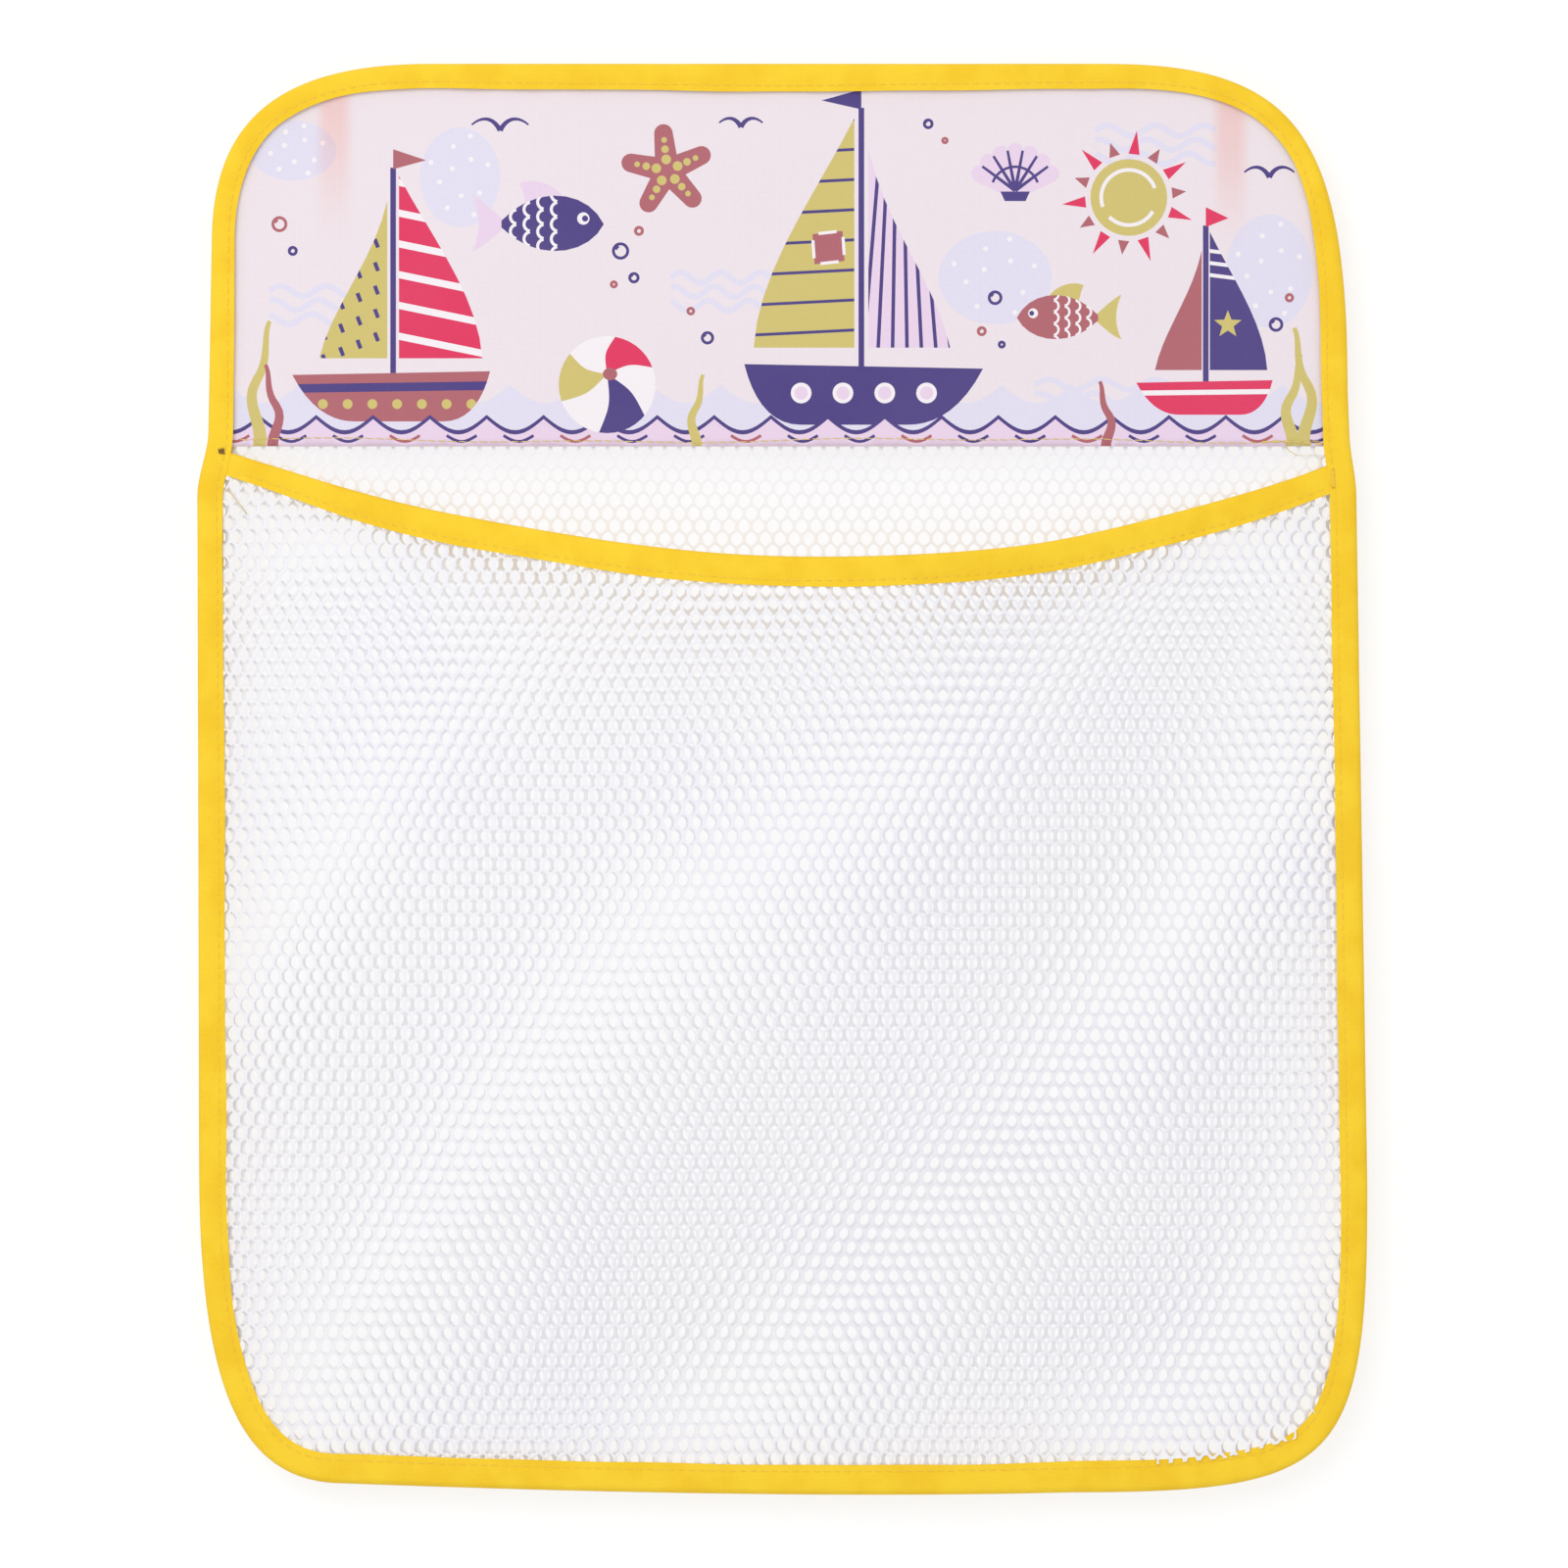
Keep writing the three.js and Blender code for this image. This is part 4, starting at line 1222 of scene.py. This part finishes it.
def cut_fringe(bm):
    """Cuts the net along the two lines where its edge lies over the tape."""
    for a, b, before, after in zip(FRINGE, FRINGE[1:], (FRINGE_ASIDE, 0.0), (0.0, FRINGE_ASIDE)):
        middles = np.array([face.calc_center_median() for face in bm.faces])
        x, z = middles[:, 0], middles[:, 2]
        close = (x > a[0] - before) & (x <= b[0] + after) & (z < FRINGE_BELOW)
        near = [face for face, beside in zip(bm.faces, close) if beside]
        edges = {edge for face in near for edge in face.edges}
        verts = {vert for face in near for vert in face.verts}
        left, right = (Vector((px, 0.0, pz)) for px, pz in (a, b))
        down = Vector((0.0, 1.0, 0.0)).cross(right - left)
        bmesh.ops.bisect_plane(
            bm, geom=[*near, *edges, *verts], dist=1e-4, plane_co=left, plane_no=down, clear_outer=True
        )


def knit(bm, pitch, row, keep, depth_of, fringe=False):
    """Turns cells into strands round open holes, and returns the yarn's flat area in square metres."""
    strand, rise = size_of("strand"), size_of("strand_round")
    middles = np.array([face.calc_center_median() for face in bm.faces])
    kept = keep(middles[:, 0], middles[:, 2])
    gone = [face for face, stays in zip(bm.faces, kept) if not stays]
    bmesh.ops.delete(bm, geom=gone, context="FACES")
    cells, ridge = bm.faces[:], bm.verts[:]
    bmesh.ops.inset_individual(bm, faces=cells, thickness=strand / 2, use_even_offset=True)
    round_holes(cells, pitch - strand * 0.9, 2 * row * (1 - CELL_SIDE) - strand * 0.9)
    bmesh.ops.delete(bm, geom=cells, context="FACES")
    area = sum(face.calc_area() for face in bm.faces) * MM * MM

    crest = set(ridge)
    outer = [edge for edge in bm.edges if edge.is_boundary and crest.issuperset(edge.verts)]
    rims = [tuple(edge.verts) for edge in outer]
    holes = [vert for vert in bm.verts if vert not in crest]
    copied = bmesh.ops.duplicate(bm, geom=bm.verts[:] + bm.edges[:] + bm.faces[:])
    twin = copied["vert_map"]
    bmesh.ops.reverse_faces(bm, faces=[f for f in copied["geom"] if isinstance(f, bmesh.types.BMFace)])
    for vert in ridge:
        vert.co.y -= rise
        twin[vert].co.y += rise
    for a, b in rims:
        for edge in bm.faces.new((a, b, twin[b], twin[a])).edges:
            edge.smooth = False
    both = holes + [twin[vert] for vert in holes]
    bmesh.ops.remove_doubles(bm, verts=both, dist=0.01)
    lips = {vert for vert in both if vert.is_valid}
    for edge in bm.edges:
        if lips.issuperset(edge.verts):
            edge.smooth = False

    if fringe:
        cut_fringe(bm)
    places = np.array([vert.co for vert in bm.verts])
    x, z = drifted(places[:, 0], places[:, 2])
    set_places(bm.verts, x, depth_of(x, z) - places[:, 1], z)
    bmesh.ops.recalc_face_normals(bm, faces=bm.faces)
    return area


# Operators


class ORGANIZER_OT_stage(bpy.types.Operator):
    """Sets the camera, the soft light, the white surroundings, the pale floor and the wall behind"""

    bl_idname = "organizer.stage"
    bl_label = "Stage"

    def execute(self, context):
        scene = context.scene
        scene.view_settings.view_transform = "Standard"
        lens = bpy.data.cameras.new("camera")
        lens.lens, lens.sensor_width = 135.0, 36.0
        camera = bpy.data.objects.new("camera", lens)
        camera.location = CAMERA_PLACE
        camera.rotation_euler = (math.pi / 2, 0.0, 0.0)
        scene.collection.objects.link(camera)
        scene.camera = camera

        lamp = bpy.data.lights.new("soft_light", "AREA")
        lamp.shape, lamp.size, lamp.energy = "DISK", 1.6, 13.0
        light = bpy.data.objects.new("soft_light", lamp)
        light.location = LAMP_PLACE
        aim = Vector(LAMP_AIM) - Vector(LAMP_PLACE)
        light.rotation_euler = aim.to_track_quat("-Z", "Y").to_euler()
        scene.collection.objects.link(light)
        scene.world = white_room()

        floor = stage_plane("floor", floor_material(), Matrix.Translation((0.0, 0.0, FLOOR_HEIGHT)))
        upright = Matrix.Translation((0.0, WALL_BACK, 0.0)) @ Matrix.Rotation(math.pi / 2, 4, "X")
        lower = Matrix.Diagonal((1.0, -FLOOR_HEIGHT, 1.0, 1.0))
        wall = stage_plane("wall", wall_material(), upright @ lower)
        return {"FINISHED"}


class ORGANIZER_OT_header(bpy.types.Operator):
    """Prints and hangs the header's cloth, with its hem turned under"""

    bl_idname = "organizer.header"
    bl_label = "Header"

    def execute(self, context):
        ply = size_of("cloth_ply")
        foot = HEADER_FOOT + 0.25
        outline, left, right = header_outline(foot)
        bm = inked_cloth([("ground", outline, None), *sea_print()])
        x, _, z = np.array([vert.co for vert in bm.verts]).T
        set_places(bm.verts, x, HEADER_DEPTH + ply / 2 + header_ripple(x, z), z)
        printed = cloth_material("sea_print_cloth", 0.0, front=True)
        cloth = made_piece(bm, "header_cloth", printed, cloth_material("sea_print_reverse", 0.55))
        thicken(cloth, ply, -1.0, 1)
        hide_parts("header_panel")

        def hem_section(along, up):
            x = left + (right - left) * along
            radius = (HEADER_DEPTH - HEM_DEPTH) / 2
            run = up * (HEM_TALL + math.pi * radius)
            turn = np.clip(run / radius, 0.0, math.pi)
            depth = (HEADER_DEPTH + HEM_DEPTH) / 2 + radius * np.cos(turn)
            z = foot - radius * np.sin(turn) + np.maximum(run - math.pi * radius, 0.0)
            return x, depth + header_ripple(x, np.full_like(x, foot)), z

        bm = strip(150, 14, (0.0, right - left, HEM_TALL), hem_section)
        layer = bm.loops.layers.float_color.new("ink")
        for face in bm.faces:
            for loop in face.loops:
                loop[layer] = (*colour_of("ground"), 1.0)
        hem = made_piece(bm, "header_hem", cloth_material("hem_cloth", 0.5))
        thicken(hem, ply)
        for piece in (cloth, hem):
            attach(piece, "bag")
        return {"FINISHED"}


class ORGANIZER_OT_nets(bpy.types.Operator):
    """Knits the flat back and the two halves of the bellied pocket"""

    bl_idname = "organizer.nets"
    bl_label = "Nets"

    def execute(self, context):
        # one white yarn in two tones, the back's lighter against the pocket's shade: painted light
        back_yarn = net_material("white_back_yarn", colour_of("back_net"))
        pocket_yarn = net_material("white_pocket_yarn", colour_of("pocket_net"))
        for side, name in SIDES:

            def on_side(x, z, side=side):
                return (edge_distance(x, z) > NET_IN) & ((x < 0) == (side < 0))

            def in_pocket(x, z, side=side):
                beside = along_fringe(x, z, FRINGE_ASIDE) & ~along_fringe(x, z)
                free = (edge_distance(x, z) > FRINGE_CLEAR) | ~beside
                return on_side(x, z, side) & (z < rim_height(x, RIM_COVERS)) & free

            pitch, row = size_of("back_pitch"), size_of("back_row")
            bm = net_cells(pitch, row, BACK_TOP - 2, BOTTOM - 1, BACK_WIDE)
            loosen(bm)
            area = knit(bm, pitch, row, on_side, lambda x, z: np.full_like(x, BACK_DEPTH))
            back = made_piece(bm, f"back_net_{name}", back_yarn)
            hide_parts("back_mesh")
            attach(back, "bag")

            pitch, row = size_of("pocket_pitch"), size_of("pocket_row")
            bm = net_cells(pitch, row, POCKET_TOP - 2, BOTTOM - 1, POCKET_WIDE)
            area = knit(bm, pitch, row, in_pocket, net_depth, fringe=side > 0)
            half = made_piece(bm, f"pocket_net_{name}", pocket_yarn)
            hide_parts("pocket_mesh")
            follow_mouth(half)
        return {"FINISHED"}


class ORGANIZER_OT_edge_tape(bpy.types.Operator):
    """Folds the tape round the whole edge"""

    bl_idname = "organizer.edge_tape"
    bl_label = "Edge Tape"

    def execute(self, context):
        ply = size_of("tape_ply")
        stitches = round(EDGE_LENGTH / size_of("stitch_pitch"))

        def section(along, across):
            turn = 2 * math.pi * along
            slow = np.array([noise.noise((9 * math.cos(t), 9 * math.sin(t), 0.5)) for t in turn])
            shows = front_width(along) + 0.35 * slow
            back = 2 * BINDING_SHOWS - shows - 0.9
            inset, depth = fold(across, shows, back, BINDING_DEPTH / 2, BINDING_DEPTH / 2, ply)
            lip = smoothstep(inset, shows - SEAM_IN, shows)
            rise = tape_rise(inset, shows, BINDING_CROWN, stitches * turn) - BINDING_LIP * lip
            place = edge_point(along % 1.0, inset)
            return place[:, 0], depth + np.sign(across - 0.5) * rise, place[:, 1]

        ribs = round(EDGE_LENGTH / TAPE_RIB) * TAPE_RIB
        bm = strip(int(EDGE_LENGTH / BINDING_STEP), 26, (0.0, ribs, TAPE_WIDTH), section, closed=True)
        tape = made_piece(bm, "edge_tape", tape_material())
        thicken(tape, ply)
        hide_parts("edge_binding")
        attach(tape, "bag")
        return {"FINISHED"}


class ORGANIZER_OT_rim_tape(bpy.types.Operator):
    """Folds the tape over the pocket's rim, in two halves"""

    bl_idname = "organizer.rim_tape"
    bl_label = "Rim Tape"

    def execute(self, context):
        ply = size_of("tape_ply")
        for (side, name), end in zip(SIDES, RIM_TAPE_ENDS):
            first, last = sorted((0.0, end))

            def section(along, across, first=first, last=last):
                x = first + (last - first) * along
                shows = rim_width(x) + 0.25 * np.array([noise.noise((a / 26, 3.1, 0.4)) for a in x])
                inset, depth = fold(across, shows, shows - 0.3, RIM_HALF, 0.0, ply)
                rise = tape_rise(inset, shows, RIM_CROWN, 2 * math.pi * x / size_of("stitch_pitch"))
                z = rim_height(x, inset)
                stands = (depth + np.sign(across - 0.5) * rise) * rim_fullness(x, z)
                return x, pocket_depth(x, z) + stands, z

            bm = strip(110, 22, (first, last - first, TAPE_WIDTH), section)
            tape = made_piece(bm, f"rim_tape_{name}", tape_material())
            thicken(tape, ply)
            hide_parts("rim_binding")
            follow_mouth(tape)
        return {"FINISHED"}


class ORGANIZER_OT_loops(bpy.types.Operator):
    """Makes the two hanging loops behind the header and the ends sewn into the edge tape"""

    bl_idname = "organizer.loops"
    bl_label = "Hanging Loops"

    def execute(self, context):
        ply = size_of("tape_ply")
        bight = LOOP_LONG - LOOP_EYE / 2 - ply
        for _, name in SIDES:
            low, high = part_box(f"{name}_loop")
            middle = (low.x + high.x) / 2 / MM
            fold_depth, fold_z = -(low.y / MM + ply), high.z / MM - ply
            front, rear = fold_depth + ply / 2, fold_depth - ply / 2
            down = [(front, fold_z - bight * k / 12) for k in range(12)]
            eye = arc(fold_depth - LOOP_EYE / 2, fold_z - bight, LOOP_EYE / 2 + ply / 2, 0, -180, 16)
            up = swept(
                eye[-1],
                (rear - LOOP_EYE, fold_z - bight * 0.75),
                (rear, fold_z - bight * 0.6),
                (rear, fold_z - bight * 0.35),
                count=16,
            )
            over = [(rear, fold_z - 1.0), *arc(fold_depth, fold_z, ply / 2, 180, 0, 7)]
            bm, long = ribbon(down + eye + up[1:] + over, ply * 0.96, 96, middle)
            loop = made_piece(bm, f"{name}_hanging_loop", tape_material())
            thicken(loop, ply * 0.44)
            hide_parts(f"{name}_loop")
            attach(loop, f"{name}_hanging_loop")

            _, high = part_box(f"{name}_loop_tail")
            bend = 0.8
            turn = arc(ply, fold_z + bend, bend, 0, -90, 8)
            line = [(bend + ply, high.z / MM - 0.2), *turn, (0.02, fold_z)]
            bm, _ = ribbon(line, 2 * ply * 0.96, 24, middle)
            tail = made_piece(bm, f"{name}_loop_end", tape_material())
            thicken(tail, ply * 0.9)
            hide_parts(f"{name}_loop_tail")
            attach(tail, "bag")
        return {"FINISHED"}


class ORGANIZER_OT_stitches(bpy.types.Operator):
    """Sews the seams along the edge, the rim and the hem, and ties the knots at the rim's ends"""

    bl_idname = "organizer.stitches"
    bl_label = "Stitches"

    def execute(self, context):
        yellow = thread_material("yellow_seam_thread", colour_of("seam_thread"))
        pale = thread_material("pale_hem_thread", colour_of("hem_thread"))
        dark = thread_material("dark_knot_thread", colour_of("knot"))

        share = np.linspace(0, 1, 1500)
        line = edge_point(share % 1.0, front_width(share) - SEAM_IN)
        bm = sewn(
            seam(line, lambda x, z: np.full_like(x, BINDING_DEPTH - STITCH_SUNK)),
            seam(line, lambda x, z: np.full_like(x, STITCH_SUNK)),
        )
        edge = made_piece(bm, "edge_stitches", yellow)
        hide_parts("edge_thread")

        half = RIM_HALF - STITCH_SUNK
        for (side, name), end in zip(SIDES, RIM_SEAM_ENDS):
            x = np.linspace(*sorted((0.0, end)), 300)
            line = np.stack([x, rim_height(x, rim_width(x) - SEAM_IN)], axis=1)
            bm = sewn(
                seam(line, lambda x, z: pocket_depth(x, z) + half * rim_fullness(x, z)),
                seam(line, lambda x, z: pocket_depth(x, z) - half * rim_fullness(x, z)),
            )
            rim = made_piece(bm, f"rim_stitches_{name}", yellow)
            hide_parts("rim_thread")
            follow_mouth(rim)

        x = np.linspace(*HEM_SEAM_ENDS, 400)
        line = np.stack([x, HEM_SEAM + 0.5 * np.sin(x / 31) + 0.35 * np.sin(x / 12)], axis=1)
        x = np.linspace(*HEM_SEWN_TWICE, 60)
        again = np.stack([x, HEM_SEAM - 0.7 - 0.4 * np.sin(x / 5)], axis=1)
        front = HEADER_DEPTH + size_of("cloth_ply") / 2
        bm = sewn(
            seam(line, lambda x, z: front + header_ripple(x, z) + 0.06, 0.9, 1.25),
            seam(line, lambda x, z: HEM_DEPTH - 0.1 + header_ripple(x, z), 0.9, 1.25),
            seam(again, lambda x, z: front + header_ripple(x, z) + 0.14, 1.7, 1.3),
        )
        hem_end = [(150.6, 2.7, -109.4), (151.6, 2.4, -111.6), (154.4, 2.2, -113.2), (161.5, 2.2, -113.2)]
        rim_end = [
            (-166.6, 3.7, -122.8), (-164.4, 3.8, -124.6), (-162.0, 3.9, -127.4), (-159.6, 3.9, -130.8)
        ]
        thread_end(bm, hem_end, 0.32)
        thread_end(bm, rim_end, 0.3)
        hem = made_piece(bm, "hem_stitches", pale)
        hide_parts("hem_thread")

        knots = []
        thick, deep = size_of("thread"), BINDING_DEPTH + 0.1
        ties = (("left", dark, 1.5, 2.8, 2.1, 0.36), ("right", yellow, -2.6, -1.4, 6.2, 0.13))
        for name, material, aside, rise, tall, spread in ties:
            low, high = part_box(f"{name}_rim_tack")
            x, _, z = (low + high) / 2 / MM + Vector((aside, 0.0, rise))
            lean = 0.68 * spread
            upright = [
                (x + spread * k, deep, z + 0.2 * (k % 2), math.pi / 2 + lean * (-1) ** k, tall, thick)
                for k in range(-2, 3)
            ]
            across = [(x, deep + 0.18, z + 0.22 * tall * k, 0.15 * k, 5.3 * spread, thick) for k in (-1, 1)]
            knot = made_piece(sewn(upright, across), f"{name}_knot", material)
            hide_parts(f"{name}_rim_tack")
            knots.append(knot)
        for piece in (edge, hem, *knots):
            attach(piece, "bag")
        return {"FINISHED"}


class ORGANIZER_PT_panel(bpy.types.Panel):
    """Lists the organizer's pieces and settings"""

    bl_idname = "ORGANIZER_PT_panel"
    bl_label = "Bath Toy Organizer"
    bl_space_type = "VIEW_3D"
    bl_region_type = "UI"
    bl_category = "Organizer"

    def draw(self, context):
        for step in STEPS:
            self.layout.operator(step.bl_idname)
        for group in (context.scene.organizer_sizes, context.scene.organizer_colours):
            for name in group.__annotations__:
                self.layout.prop(group, name)


STEPS = (
    ORGANIZER_OT_stage,
    ORGANIZER_OT_header,
    ORGANIZER_OT_nets,
    ORGANIZER_OT_edge_tape,
    ORGANIZER_OT_rim_tape,
    ORGANIZER_OT_loops,
    ORGANIZER_OT_stitches,
)
CLASSES = (OrganizerSizes, OrganizerColours, *STEPS, ORGANIZER_PT_panel)


def register():
    for kind in CLASSES:
        bpy.utils.register_class(kind)
    bpy.types.Scene.organizer_sizes = PointerProperty(type=OrganizerSizes)
    bpy.types.Scene.organizer_colours = PointerProperty(type=OrganizerColours)


def unregister():
    del bpy.types.Scene.organizer_colours
    del bpy.types.Scene.organizer_sizes
    for kind in reversed(CLASSES):
        bpy.utils.unregister_class(kind)


def main():
    register()
    bpy.ops.organizer.stage()
    bpy.ops.organizer.header()
    bpy.ops.organizer.nets()
    bpy.ops.organizer.edge_tape()
    bpy.ops.organizer.rim_tape()
    bpy.ops.organizer.loops()
    bpy.ops.organizer.stitches()
    bpy.context.view_layer.update()


if __name__ == "__main__":
    main()
